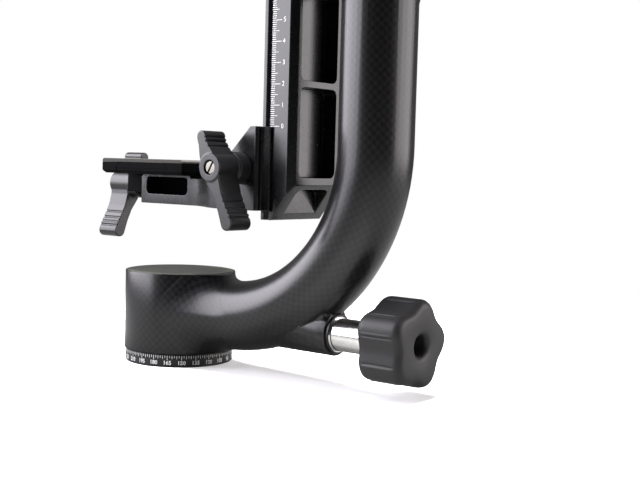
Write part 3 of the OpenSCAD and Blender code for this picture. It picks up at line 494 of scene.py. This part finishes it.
def plate_finish(metal):
    """Grey deck over a dovetail painted dull black: painted shade below the deck, standing in for the shaded
    clamp walls
    """
    made = anodised_finish("plate anodised", metal.rail, metal.rail, **DULL)
    # Painted shade: the plate stays dull black below the deck line and turns grey above it
    deck = made.ease(made.axes(made.here())[2], *DECK_SHADE_Z)
    cloud = made.noise(3.0, 3.0)
    bare = made.mix(cloud * 0.5, rgba(metal.plate), rgba([c * 0.8 for c in metal.plate]))
    made.set(Base_Color=made.mix(deck, made.base_colour(), bare))
    return made


def slot_finish(name, colour, centre, first, second, turn):
    """Nickel screw head whose driver slot is painted dark as painted shade in the slot: first and second are
    the axes across the screw
    """
    made = plating_finish(name, colour, centre)
    place = made.axes(made.here(centre))
    off = made.math("ABSOLUTE", place[first] * math.sin(turn) - place[second] * math.cos(turn))
    # Painted shade: the slot is painted black, dull and not metallic
    slot = made.ease(off, *SCREW_SLOT_SHADE_HALF)
    made.set(
        Base_Color=made.mix(slot, made.base_colour(), rgba(PAINTED_SHADE_BLACK)),
        Metallic=1 - slot, Roughness=0.16 + slot * 0.6,
    )
    return made


def bush_finish(colour, centre):
    """Nickel bush with a bright lip round its bore; outside the lip it is painted black, as painted shadow at
    the end of the boss
    """
    made = plating_finish("bush", colour, centre)
    y, z = made.axes(made.here(centre))[1:]
    # Painted shadow: outside the lip the nickel is painted black and dull
    lip = made.ease(made.math("SQRT", y * y + z * z), *BUSH_LIP_R)
    made.set(
        Base_Color=made.mix(lip, rgba(PAINTED_SHADE_BLACK), made.base_colour()),
        Metallic=lip, Roughness=0.4 - lip * 0.25,
    )
    return made


def turned_finish(name, colour, roughness, metallic, centre, axis, pitch=0.32, depth=0.006):
    """Lathe-turned metal: fine rings about an axis"""
    made = Finish(name, Metallic=metallic)
    place = made.axes(made.here(centre))
    first, second = [value for i, value in enumerate(place) if i != axis]
    radius = made.math("SQRT", first * first + second * second)
    rings = made.math("SINE", radius * (2 * math.pi / pitch) + made.noise(6.0, 1.0) * 2.0)
    cloud = made.noise(5.0, 3.0)
    shade = made.mix(made.ease(cloud, 0.3, 0.7) * 0.5, rgba(colour), rgba([c * 0.8 for c in colour]))
    shade = made.mix((rings * 0.5 + 0.5) * 0.2, shade, rgba([min(1.0, c * 1.25) for c in colour]))
    made.set(Base_Color=shade, Roughness=roughness + cloud * 0.08)
    made.bump(rings, depth, 0.4)
    return made


def steel_finish(name, colour, roughness, scratch=0.4):
    """Machined or plated metal with faint marks"""
    made = Finish(name, Metallic=1.0)
    cloud = made.noise(3.0, 4.0)
    grain = made.noise(scratch, 3.0)
    shade = made.mix(made.ease(cloud, 0.35, 0.7) * 0.4, rgba(colour), rgba([c * 0.82 for c in colour]))
    made.set(Base_Color=shade, Roughness=roughness + grain * 0.06 + cloud * 0.05)
    made.bump(grain, 0.004, 0.25)
    return made


def rubber_finish(name, colour, roughness, grain_size=0.22, depth=0.02):
    """Soft-touch rubber with an even fine grain"""
    made = Finish(name, Specular_IOR_Level=0.42)
    cloud = made.noise(7.0, 3.0)
    grain = made.noise(grain_size, 2.0)
    shade = made.mix(made.ease(cloud, 0.3, 0.75) * 0.5, rgba(colour), rgba([c * 1.3 for c in colour]))
    shade = made.mix(made.ease(grain, 0.45, 0.7) * 0.3, shade, rgba([c * 1.7 for c in colour]))
    made.set(Base_Color=shade, Roughness=roughness + cloud * 0.08)
    made.bump(grain, depth, 0.5)
    return made


def ink_finish(colour):
    """White print, a little uneven"""
    made = Finish("scale print", Roughness=0.5)
    worn = made.noise(0.6, 3.0)
    shade = made.mix(made.ease(worn, 0.45, 0.8) * 0.3, rgba(colour), rgba([c * 0.7 for c in colour]))
    made.set(Base_Color=shade)
    return made


def plating_finish(name, colour, centre):
    """Bright nickel plate, drawn along X"""
    made = Finish(name, Metallic=1.0)
    x, y, z = made.axes(made.here(centre))
    turn = made.math("ARCTAN2", y, z)
    lines = made.math("SINE", x * (2 * math.pi / 0.6) + made.noise(4.0, 2.0) * 1.5)
    haze = made.noise(2.0, 3.0)
    made.set(
        Base_Color=made.mix(made.ease(haze, 0.4, 0.7) * 0.4, rgba(colour), rgba([c * 0.86 for c in colour])),
        Roughness=0.13 + haze * 0.06 + made.math("ABSOLUTE", made.math("SINE", turn * 2.0)) * 0.02,
    )
    made.bump(lines, 0.002, 0.3)
    return made


class GIMBAL_OT_finishes(bpy.types.Operator):
    """Make every finish and put it on the CAD nodes"""

    bl_idname = "gimbal.finishes"
    bl_label = "Finishes"

    def execute(self, context):
        head = context.scene.gimbal_head
        metal, knob = head.metal, head.knob
        finishes.update({
            "base_black": anodised_finish("ring anodised", (0.006, 0.006, 0.0065), metal.edge, 0.34),
            "steel": steel_finish("turned steel", (0.5, 0.5, 0.52), 0.28),
            "bare_alloy": turned_finish("machined alloy", (0.6, 0.6, 0.62), 0.3, 1.0, (0, 0, 0), 2),
            "bearing_steel": steel_finish("bearing steel", (0.75, 0.75, 0.77), 0.1),
            "carbon": carbon_finish(head.carbon),
            "cap_grey": turned_finish("turned cap", metal.cap, 0.4, 0.0, (0, 0, 0), 2, 0.5, 0.008),
            "black_anodised": anodised_finish("black anodised", metal.rail, metal.edge),
            "bronze": steel_finish("bronze", (0.45, 0.33, 0.15), 0.3),
            "knob_rubber": rubber_finish("knob rubber", knob.rubber, 0.46),
            "polished": plating_finish("nickel plate", NICKEL, PAN_SHANK),
            "rail_clamp_screw": slot_finish("rail screw", SCREW_CREAM, RAIL_SCREW, 0, 2, LEVER_SLOT_TURN),
            "lens_clamp_screw": slot_finish("lens screw", SCREW_CREAM, LENS_SCREW, 1, 2, -LEVER_SLOT_TURN),
            "lock_bush": bush_finish(NICKEL, PAN_SHANK),
            "platform_bracket": bracket_finish(metal),
            "clamp_black": anodised_finish("clamp black", metal.rail, metal.rail, **DULL),
            "lever_black": anodised_finish("lever satin", knob.lever, metal.edge, 0.34),
            "plate_grey": plate_finish(metal),
            "pad_rubber": rubber_finish("pad rubber", (0.018, 0.018, 0.018), 0.6, 0.8, 0.08),
            "print": ink_finish(head.scale.ink),
        })
        for name, node in frame["nodes"].items():
            finish = finishes.get(name, finishes[SLOTS[name]]).material
            for slot in node.material_slots:
                slot.material = finish
        return {"FINISHED"}


# ---- Shaping helpers


def add_piece(name, mesh, body, slot, finish=None):
    """A finished piece: its mesh in place, riding on a body, with the slot's finish"""
    made = bpy.data.objects.new(name, mesh)
    bpy.context.scene.collection.objects.link(made)
    mesh.materials.clear()
    mesh.materials.append(finishes[finish or slot].material)
    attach(made, body)
    return made


def merged_shape(node):
    """A node's mesh with its loose triangles merged and flat faces joined"""
    shape = bmesh.new()
    shape.from_mesh(frame["nodes"][node].data)
    bmesh.ops.remove_doubles(shape, verts=shape.verts, dist=0.002 * MM)
    bmesh.ops.dissolve_limit(shape, angle_limit=math.radians(0.5), verts=shape.verts, edges=shape.edges)
    return shape


def to_mesh(shape, name, smooth_angle=None):
    mesh = bpy.data.meshes.new(name)
    shape.to_mesh(mesh)
    shape.free()
    if smooth_angle is not None:
        mesh.polygons.foreach_set("use_smooth", [True] * len(mesh.polygons))
        mesh.set_sharp_from_angle(angle=smooth_angle)
    return mesh


def workpiece(name, data):
    """An object that holds modifiers until it is baked"""
    made = bpy.data.objects.new(name, data)
    bpy.context.scene.collection.objects.link(made)
    return made


def baked(work):
    """The workpiece's evaluated mesh; the workpiece itself is gone afterwards"""
    graph = bpy.context.evaluated_depsgraph_get()
    mesh = bpy.data.meshes.new_from_object(work.evaluated_get(graph))
    bpy.data.objects.remove(work)
    return mesh


def flattened(mesh):
    """The mesh with its flat faces shaded flat right up to their broken edges"""
    work = workpiece(mesh.name + "_work", mesh)
    work.modifiers.new("flat", "WEIGHTED_NORMAL").keep_sharp = True
    return baked(work)


def soften(node, width, least_edge=0.6 * MM, least_angle=math.radians(28), finish=None, flat=True):
    """Stands for a CAD node with its sharp edges broken by width"""
    shape = merged_shape(node)
    layer = shape.faces.layers.float.new("broken_edge")
    shape.edges.ensure_lookup_table()
    sharp = [
        edge for edge in shape.edges
        if len(edge.link_faces) == 2
        and edge.calc_length() > least_edge and edge.calc_face_angle(0) > least_angle
    ]
    bent = bmesh.ops.bevel(
        shape, geom=sharp, offset=width, offset_type="OFFSET", segments=2, profile=0.5,
        affect="EDGES", clamp_overlap=False,
    )
    for face in bent["faces"]:
        face[layer] = 1.0
    mesh = to_mesh(shape, node + "_soft", math.radians(40))
    if flat:
        mesh = flattened(mesh)
    made = add_piece(node + "_soft", mesh, BODY[node], SLOTS[node], finish)
    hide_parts(node)


def melt(node, voxel, rounds):
    """Stands for a cast CAD node with all its edges rounded"""
    shape = merged_shape(node)
    bmesh.ops.triangulate(shape, faces=shape.faces)
    work = workpiece(node + "_work", to_mesh(shape, node + "_work"))
    remesh = work.modifiers.new("grid", "REMESH")
    remesh.mode, remesh.voxel_size = "VOXEL", voxel
    smooth = work.modifiers.new("round", "SMOOTH")
    smooth.factor, smooth.iterations = 0.5, rounds
    mesh = baked(work)
    mesh.polygons.foreach_set("use_smooth", [True] * len(mesh.polygons))
    made = add_piece(node + "_soft", mesh, BODY[node], SLOTS[node])
    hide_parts(node)


def tick_tree(material):
    """Geometry nodes: a row of ticks along X from the origin, hanging down Y"""
    tree = bpy.data.node_groups.new("tick row", "GeometryNodeTree")
    for name, kind in (
        ("Count", "NodeSocketInt"), ("Pitch", "NodeSocketFloat"), ("Short", "NodeSocketFloat"),
        ("Middle", "NodeSocketFloat"), ("Long", "NodeSocketFloat"), ("Middle every", "NodeSocketFloat"),
        ("Long every", "NodeSocketFloat"), ("Width", "NodeSocketFloat"),
    ):
        tree.interface.new_socket(name, in_out="INPUT", socket_type=kind)
    tree.interface.new_socket("Ticks", in_out="OUTPUT", socket_type="NodeSocketGeometry")
    made = Tree(tree)
    source = tree.nodes.new("NodeGroupInput")
    given = {socket.name: Value(made, socket) for socket in source.outputs if socket.name}
    index = made.node("GeometryNodeInputIndex")

    def at(every):
        return made.math("COMPARE", (index + 0.25) % every, 0.25, 0.1)

    length = given["Short"] + at(given["Middle every"]) * (given["Middle"] - given["Short"])
    length = length + at(given["Long every"]) * (given["Long"] - length)
    points = made.node("GeometryNodeMeshLine", {}, {"Count": given["Count"], "Offset": (0, 0, 0)})
    place = made.node("ShaderNodeCombineXYZ", {}, {0: index * given["Pitch"], 1: length * -0.5})
    points = made.node("GeometryNodeSetPosition", {}, {"Geometry": points, "Position": place})
    square = {"Size X": 1.0, "Size Y": 1.0, "Vertices X": 2, "Vertices Y": 2}
    bar = made.node("GeometryNodeMeshGrid", {}, square)
    size = made.node("ShaderNodeCombineXYZ", {}, {0: given["Width"], 1: length, 2: 1.0})
    bars = made.node("GeometryNodeInstanceOnPoints", {}, {"Points": points, "Instance": bar, "Scale": size})
    bars = made.node("GeometryNodeRealizeInstances", {}, {"Geometry": bars})
    bars = made.node("GeometryNodeSetMaterial", {}, {"Geometry": bars, "Material": material})
    sink = tree.nodes.new("NodeGroupOutput")
    made.put(sink, {0: bars})
    return tree


def tick_row(tree, **sizes):
    """The row's mesh, flat in XY"""
    work = workpiece("ticks_work", bpy.data.meshes.new("ticks_work"))
    rows = work.modifiers.new("ticks", "NODES")
    rows.node_group = tree
    for item in tree.interface.items_tree:
        if item.in_out == "INPUT":
            rows[item.identifier] = sizes[item.name.lower().replace(" ", "_")]
    return baked(work)


def number_mesh(text, size, bold, align="CENTER"):
    """A number's flat mesh in XY, its middle height at the origin"""
    curve = bpy.data.curves.new("number", "FONT")
    curve.body, curve.size, curve.offset = text, size, bold
    curve.align_x, curve.align_y = align, "CENTER"
    curve.resolution_u = 3
    mesh = baked(workpiece("number", curve))
    bpy.data.curves.remove(curve)
    return mesh


def lay_print(name, parts, body, slot, thickness=0.03 * MM):
    """One piece of print: each part is a flat mesh and the function that lays its points"""
    shape = bmesh.new()
    for mesh, place in parts:
        part = bmesh.new()
        part.from_mesh(mesh)
        bmesh.ops.remove_doubles(part, verts=part.verts, dist=0.001 * MM)
        for face in part.faces:
            if face.normal.z < 0:
                face.normal_flip()
        if part.faces:
            wall = bmesh.ops.extrude_face_region(part, geom=part.faces[:])
            for item in wall["geom"]:
                if isinstance(item, bmesh.types.BMVert):
                    item.co.z += thickness
        for vertex in part.verts:
            vertex.co = place(*vertex.co)
        flat = bpy.data.meshes.new("part")
        part.to_mesh(flat)
        part.free()
        shape.from_mesh(flat)
        bpy.data.meshes.remove(flat)
        bpy.data.meshes.remove(mesh)
    add_piece(name, to_mesh(shape, name), body, slot, "print")


# ---- Pieces


def along_tube(x, y, up):
    """A point beside the tube's axis, x along the level run and then round the bend"""
    turn = max(0.0, x - (TUBE_X - BEND_R)) / BEND_R
    x = min(x, TUBE_X - BEND_R) + (BEND_R - up) * math.sin(turn)
    return x, y, TUBE_Z + BEND_R - (BEND_R - up) * math.cos(turn)


def hub_blend(reach_up, reach_aside, run, skin=0.04, sink=0.8):
    """Skin over the corner between the pan hub and the level tube, tangent to both"""
    turns, steps = 96, 18
    hub_r, tube_r = ARM_HUB_R + skin, ARM_TUBE_R + skin
    low, high = RING_HIGH.z / MM + 0.4, ARM_BLEND_TOP
    shape = bmesh.new()
    rings = [[] for _ in range(steps + 3)]
    for i in range(turns):
        turn = 2 * math.pi * i / turns
        across = abs(math.sin(turn))
        out = tube_r + math.hypot(reach_up * math.cos(turn), reach_aside * across)
        face = math.sqrt(hub_r ** 2 - (out * across) ** 2)
        knee = face + (out - tube_r) * out * across ** 2 / face
        end = knee + run
        points = []
        for s in [k / steps for k in range(steps + 1)]:
            x = (1 - s) ** 2 * face + 2 * s * (1 - s) * knee + s ** 2 * end
            r = (1 - s) ** 2 * out + (1 - (1 - s) ** 2) * tube_r
            points.append(along_tube(x, r * math.sin(turn), r * math.cos(turn)))
        x, y, z = points[0]
        inward = 1 - sink / hub_r
        points.insert(0, (x * inward, y * inward, z))
        r = tube_r - sink
        points.append(along_tube(end, r * math.sin(turn), r * math.cos(turn)))
        for ring, (x, y, z) in zip(rings, points):
            ring.append(shape.verts.new((x * MM, y * MM, min(max(z, low), high) * MM)))
    for first, second in zip(rings, rings[1:]):
        for i in range(turns):
            j = (i + 1) % turns
            shape.faces.new((first[i], second[i], second[j], first[j]))
    for ring in (rings[0], rings[-1]):
        shape.faces.new(ring)
    bmesh.ops.recalc_face_normals(shape, faces=shape.faces)
    add_piece("hub_blend", to_mesh(shape, "hub_blend", math.radians(50)), "arm", "carbon")


class GIMBAL_OT_arm(bpy.types.Operator):
    """Carbon arm with its blends smoothed and its hub edges broken"""

    bl_idname = "gimbal.arm"
    bl_label = "Carbon arm"

    def execute(self, context):
        soften("carbon_arm", 0.35 * MM, least_edge=0.9 * MM, least_angle=math.radians(50), flat=False)
        hub_blend(reach_up=11.0, reach_aside=9.6, run=16.0)
        return {"FINISHED"}


class GIMBAL_OT_milled(bpy.types.Operator):
    """Rail, platform, jaws, clamp and lens plate with their edges broken"""

    bl_idname = "gimbal.milled"
    bl_label = "Milled parts"

    def execute(self, context):
        width = context.scene.gimbal_head.metal.edge_round
        fine = width * 0.6
        soften("swing_rail", width)
        soften("rail_jaw", width, finish="clamp_black")
        soften("platform_bracket", width, finish="platform_bracket")
        soften("lens_plate", fine)
        for node in ("lens_clamp_base", "lens_clamp_jaw"):
            soften(node, fine, finish="clamp_black")
        return {"FINISHED"}


class GIMBAL_OT_levers(bpy.types.Operator):
    """Cast wing levers with all their edges rounded"""

    bl_idname = "gimbal.levers"
    bl_label = "Wing levers"

    def execute(self, context):
        for node in ("rail_lever", "lens_lever"):
            melt(node, context.scene.gimbal_head.knob.voxel, rounds=5)
        return {"FINISHED"}


def knob_profile(radius, width, hole_r, hole_d, bore_r, bore_d):
    """Meridian of a star knob from its front hole's bottom to its bore's bottom: (radius, height)"""
    def arc(cx, cz, rx, rz, start, end, count):
        return [
            (cx + rx * math.cos(math.radians(a)), cz + rz * math.sin(math.radians(a)))
            for a in [start + (end - start) * i / count for i in range(count + 1)]
        ]
    mouth, front, back = 3.0, 4.2, 4.6
    points = [(0.0, width - hole_d), (hole_r - 0.4, width - hole_d), (hole_r, width - hole_d + 0.4)]
    points += arc(hole_r + mouth, width - 0.35 - mouth, mouth, mouth, 180, 90, 6)
    points += [(9.5, width - 0.12), (12.0, width), (15.0, width - 0.05)]
    points += arc(radius - front, width - front - 0.15, front, front, 88, 0, 9)
    points += [(radius, width * share) for share in (0.75, 0.6, 0.45, 0.32)]
    points += arc(radius - back * 0.8, back, back * 0.8, back, 0, -90, 9)
    points += [(12.0, 0.0), (bore_r + 0.5, 0.0), (bore_r, 0.5), (bore_r, bore_d), (0.0, bore_d)]
    return points


def swell(degrees, middle, spread, depth):
    """A bell-shaped swell at so many degrees from a lobe's middle"""
    return depth * math.exp(-((degrees - middle) / spread) ** 2)


def star_knob(node, settings):
    """Star knob about X with soft lobes, and a fine groove along both sides of each lobe"""
    low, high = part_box(node)
    width = (high.x - low.x) / MM
    middle_z = {"pan_knob": (SHANK_LOW.z + SHANK_HIGH.z) / 2, "tilt_knob": TILT_Z * MM}[node]
    radius, core, dip, count = 21.3, 8.5, settings.dip / MM, 360
    profile = knob_profile(radius, width, hole_r=4.8, hole_d=8.0, bore_r=8.04, bore_d=12.25)
    shape = bmesh.new()
    rings = []
    for rho, height in profile:
        if rho == 0.0:
            rings.append([shape.verts.new((height, 0, 0))])
            continue
        share = min(1.0, max(0.0, (rho - core) / (radius - core)))
        share = share * share * (3 - 2 * share)
        along = min(1.0, max(0.0, (height - 2.5) / 2)) * min(1.0, max(0.0, (width - 3.6 - height) / 1.5))
        ring = []
        for i in range(count):
            turn = 2 * math.pi * i / count
            lobe = math.cos(settings.lobes * turn)
            off = abs((turn * settings.lobes + math.pi) % (2 * math.pi) - math.pi) / settings.lobes
            line = swell(math.degrees(off), *KNOB_GROOVE) - swell(math.degrees(off), *KNOB_RIDGE)
            r = rho - share * (dip / 2 * (1 - lobe)) - along * share * line
            a = turn + settings.turn
            ring.append(shape.verts.new((height, r * math.cos(a), r * math.sin(a))))
        rings.append(ring)
    for first, second in zip(rings, rings[1:]):
        for i in range(count):
            j = (i + 1) % count
            if len(first) == 1:
                shape.faces.new((first[0], second[i], second[j]))
            elif len(second) == 1:
                shape.faces.new((first[i], second[0], first[j]))
            else:
                shape.faces.new((first[i], second[i], second[j], first[j]))
    for vertex in shape.verts:
        vertex.co = Vector((low.x, 0, middle_z)) + vertex.co * MM
    bmesh.ops.recalc_face_normals(shape, faces=shape.faces)
    mesh = to_mesh(shape, node + "_soft", math.radians(50))
    made = add_piece(node + "_soft", mesh, BODY[node], SLOTS[node])
    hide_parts(node)


class GIMBAL_OT_knobs(bpy.types.Operator):
    """Both star knobs"""

    bl_idname = "gimbal.knobs"
    bl_label = "Star knobs"

    def execute(self, context):
        for node in ("pan_knob", "tilt_knob"):
            star_knob(node, context.scene.gimbal_head.knob)
        return {"FINISHED"}


class GIMBAL_OT_scales(bpy.types.Operator):
    """Centimetre scale on the rail and degree scale on the base ring"""

    bl_idname = "gimbal.scales"
    bl_label = "Scales"

    def execute(self, context):
        settings = context.scene.gimbal_head.scale
        tree = tick_tree(finishes["print"].material)
        face_y, zero = RAIL_LOW.y, settings.rail_zero
        rows = int((RAIL_HIGH.z - RAIL_SCALE_END * MM - zero) / MM)

        def on_rail(x, z):
            return lambda u, v, w: Vector((x + u, face_y - w, z + v))

        def up_rail(u, v, w):
            return Vector((RAIL_TICK_X * MM - v, face_y - w, zero + u))

        marks = tick_row(
            tree, count=rows + 1, pitch=MM, short=2.5 * MM, middle=4.2 * MM, long=5.9 * MM,
            middle_every=5.0, long_every=10.0, width=0.24 * MM,
        )
        parts = [(marks, up_rail)]
        for unit in range(rows // 10 + 1):
            text = number_mesh(str(unit), settings.rail_digit, 0.0, "LEFT")
            parts.append((text, on_rail(RAIL_DIGIT_X * MM, zero + unit * 10 * MM)))
        lay_print("rail_scale", parts, "swing", "black_anodised")

        radius = RING_HIGH.x

        def on_ring(start, z):
            def place(u, v, w):
                turn = start + u / radius
                return Vector(((radius + w) * math.cos(turn), (radius + w) * math.sin(turn), z + v))
            return place

        step = math.radians(2.5)
        top = RING_HIGH.z - RING_TICK_DROP * MM
        marks = tick_row(
            tree, count=144, pitch=radius * step, short=1.25 * MM, middle=1.7 * MM, long=2.3 * MM,
            middle_every=2.0, long_every=6.0, width=0.3 * MM,
        )
        parts = [(marks, on_ring(settings.ring_start, top))]
        for label in range(0, 360, settings.ring_step):
            text = number_mesh(str(label), settings.ring_digit, 0.09 * MM)
            parts.append((text, on_ring(settings.ring_start - math.radians(label), RING_DIGIT_Z * MM)))
        lay_print("degree_scale", parts, "base", "base_black")
        return {"FINISHED"}


# ---- Stage


CAMERA_TURN, CAMERA_RISE, CAMERA_ROLL = (math.radians(a) for a in (38.759, 3.803, 1.587))
CAMERA_PLACE = Vector((0.436702, -0.425159, 0.106348))
CAMERA_RIGHT = Vector((math.cos(CAMERA_TURN), math.sin(CAMERA_TURN), 0))
CAMERA_SIDE = Vector((math.sin(CAMERA_TURN), -math.cos(CAMERA_TURN), 0))
STAGE_MIDDLE_X = 0.09

# The floor, in millimetres: it fades to clear away from the object, and one patch glows in reflections
FLOOR_MIDDLE, FLOOR_FADE = (90, 0, 0), (180.0, 420.0)
PATCH_MIDDLE, PATCH_FADE = (150, -90, 0), (120.0, 40.0)
FLOOR_BOUNCE = 0.15


def softbox(name, turn, distance, low, high, width, power, colour):
    """An upright softbox turned from the camera's side of the object to its right"""
    way = CAMERA_SIDE * math.cos(math.radians(turn)) + CAMERA_RIGHT * math.sin(math.radians(turn))
    lamp = bpy.data.lights.new(name, "AREA")
    lamp.shape, lamp.size, lamp.size_y = "RECTANGLE", width, high - low
    lamp.energy, lamp.color = power, colour
    made = bpy.data.objects.new(name, lamp)
    made.location = Vector((STAGE_MIDDLE_X, 0, (low + high) / 2)) + way * distance
    made.rotation_euler = way.to_track_quat("Z", "Y").to_euler()
    bpy.context.scene.collection.objects.link(made)
    return made


def ray_kind(made, *names):
    """1 for rays of the named kinds"""
    path = made.tree.nodes.new("ShaderNodeLightPath")
    total = Value(made, path.outputs[names[0]])
    for name in names[1:]:
        total = made.math("MAXIMUM", total, Value(made, path.outputs[name]))
    return total


class GIMBAL_OT_stage(bpy.types.Operator):
    """Camera, floor, softboxes and white surroundings"""

    bl_idname = "gimbal.stage"
    bl_label = "Stage"

    def execute(self, context):
        scene, settings = context.scene, context.scene.gimbal_head.stage
        back = CAMERA_SIDE * math.cos(CAMERA_RISE) + Vector((0, 0, math.sin(CAMERA_RISE)))
        up = back.cross(CAMERA_RIGHT)
        side = CAMERA_RIGHT * math.cos(CAMERA_ROLL) + up * math.sin(CAMERA_ROLL)
        up = up * math.cos(CAMERA_ROLL) - CAMERA_RIGHT * math.sin(CAMERA_ROLL)
        camera = bpy.data.objects.new("camera", bpy.data.cameras.new("camera"))
        camera.data.lens = settings.lens
        camera.data.clip_start, camera.data.clip_end = 0.01, 50
        facing = Matrix((side, up, back)).transposed().to_4x4()
        camera.matrix_world = Matrix.Translation(CAMERA_PLACE) @ facing
        scene.collection.objects.link(camera)
        scene.camera = camera
        scene.view_settings.view_transform = "Standard"
        softbox(
            "left softbox", turn=-92, distance=0.75, low=0.1, high=1.0, width=0.95,
            power=settings.left, colour=(0.95, 0.93, 1.0),
        )
        softbox(
            "right softbox", turn=82, distance=0.75, low=0.02, high=0.65, width=0.75,
            power=settings.right, colour=(1.0, 0.955, 0.96),
        )
        top = softbox(
            "top light", turn=0, distance=0.0, low=0.62, high=0.92, width=0.3,
            power=settings.top, colour=(1.0, 1.0, 1.0),
        )
        top.rotation_euler, top.visible_glossy = (0, 0, 0), False
        self.surroundings(scene, settings)
        self.floor(scene, settings)
        return {"FINISHED"}

    def surroundings(self, scene, settings):
        world = bpy.data.worlds.new("studio")
        world.use_nodes = True
        made = Tree(world.node_tree)
        world.node_tree.nodes.clear()
        way = made.node("ShaderNodeTexCoord", output="Generated")
        facing = {0: way, 1: -CAMERA_SIDE}
        behind = made.node("ShaderNodeVectorMath", {"operation": "DOT_PRODUCT"}, facing, "Value")
        strength = made.ease(behind, 0.2, 0.9) * (settings.backdrop - settings.ambient) + settings.ambient
        studio = made.node("ShaderNodeBackground", {}, {"Strength": strength})
        white = made.node("ShaderNodeBackground", {}, {"Color": (1, 1, 1, 1), "Strength": 1.0})
        seen = ray_kind(made, "Is Camera Ray", "Is Transmission Ray")
        both = made.node("ShaderNodeMixShader", {}, {0: seen, 1: studio, 2: white})
        made.put(world.node_tree.nodes.new("ShaderNodeOutputWorld"), {0: both})
        scene.world = world

    def floor(self, scene, settings):
        shape = bmesh.new()
        bmesh.ops.create_grid(shape, x_segments=8, y_segments=8, size=3.0)
        for vertex in shape.verts:
            vertex.co.z -= 0.05 * MM
        floor = bpy.data.objects.new("floor", to_mesh(shape, "floor"))
        scene.collection.objects.link(floor)
        paper = Finish("floor paper", Roughness=0.9, Specular_IOR_Level=0.0)
        camera = ray_kind(paper, "Is Camera Ray")
        white = paper.mix(paper.noise(400.0, 2.0) * 0.2, grey(0.82), grey(0.8))
        paper.set(Base_Color=paper.mix(camera, grey(FLOOR_BOUNCE), white))
        fade = paper.ease(paper.reach(FLOOR_MIDDLE), *FLOOR_FADE)
        patch = paper.ease(paper.reach(PATCH_MIDDLE), *PATCH_FADE)
        mirrored = paper.mix(patch, grey(settings.paper), grey(settings.front))
        shade = paper.mix(camera, mirrored, grey(settings.lift))
        glow = paper.node("ShaderNodeEmission", {}, {"Color": shade, "Strength": 1.0})
        lit = paper.node("ShaderNodeAddShader", {}, {0: paper.surface, 1: glow})
        clear = paper.node("ShaderNodeBsdfTransparent")
        both = paper.node("ShaderNodeMixShader", {}, {0: camera * fade, 1: lit, 2: clear})
        paper.put(paper.output, {0: both})
        floor.data.materials.append(paper.material)


class GIMBAL_PT_head(bpy.types.Panel):
    """Lists the head's settings and steps"""

    bl_idname = "GIMBAL_PT_head"
    bl_label = "Gimbal Head"
    bl_space_type = "VIEW_3D"
    bl_region_type = "UI"
    bl_category = "Gimbal Head"

    def draw(self, context):
        head = context.scene.gimbal_head
        for name in ("carbon", "metal", "scale", "knob", "stage"):
            group = getattr(head, name)
            box = self.layout.box()
            box.label(text=name.capitalize())
            for key in group.__annotations__:
                box.prop(group, key)
        for step in STEPS:
            self.layout.operator(step.bl_idname)


STEPS = (
    GIMBAL_OT_stage, GIMBAL_OT_finishes, GIMBAL_OT_arm, GIMBAL_OT_milled, GIMBAL_OT_levers,
    GIMBAL_OT_knobs, GIMBAL_OT_scales,
)
CLASSES = (
    CarbonSettings, MetalSettings, ScaleSettings, KnobSettings, StageSettings, HeadSettings,
    *STEPS, GIMBAL_PT_head,
)


def register():
    for item in CLASSES:
        bpy.utils.register_class(item)
    bpy.types.Scene.gimbal_head = bpy.props.PointerProperty(
        type=HeadSettings, name="Gimbal head", description="Settings of the gimbal head",
    )


def unregister():
    del bpy.types.Scene.gimbal_head
    for item in reversed(CLASSES):
        bpy.utils.unregister_class(item)


def main():
    register()
    bpy.ops.gimbal.stage()
    bpy.ops.gimbal.finishes()
    bpy.ops.gimbal.arm()
    bpy.ops.gimbal.milled()
    bpy.ops.gimbal.levers()
    bpy.ops.gimbal.knobs()
    bpy.ops.gimbal.scales()


if __name__ == "__main__":
    main()
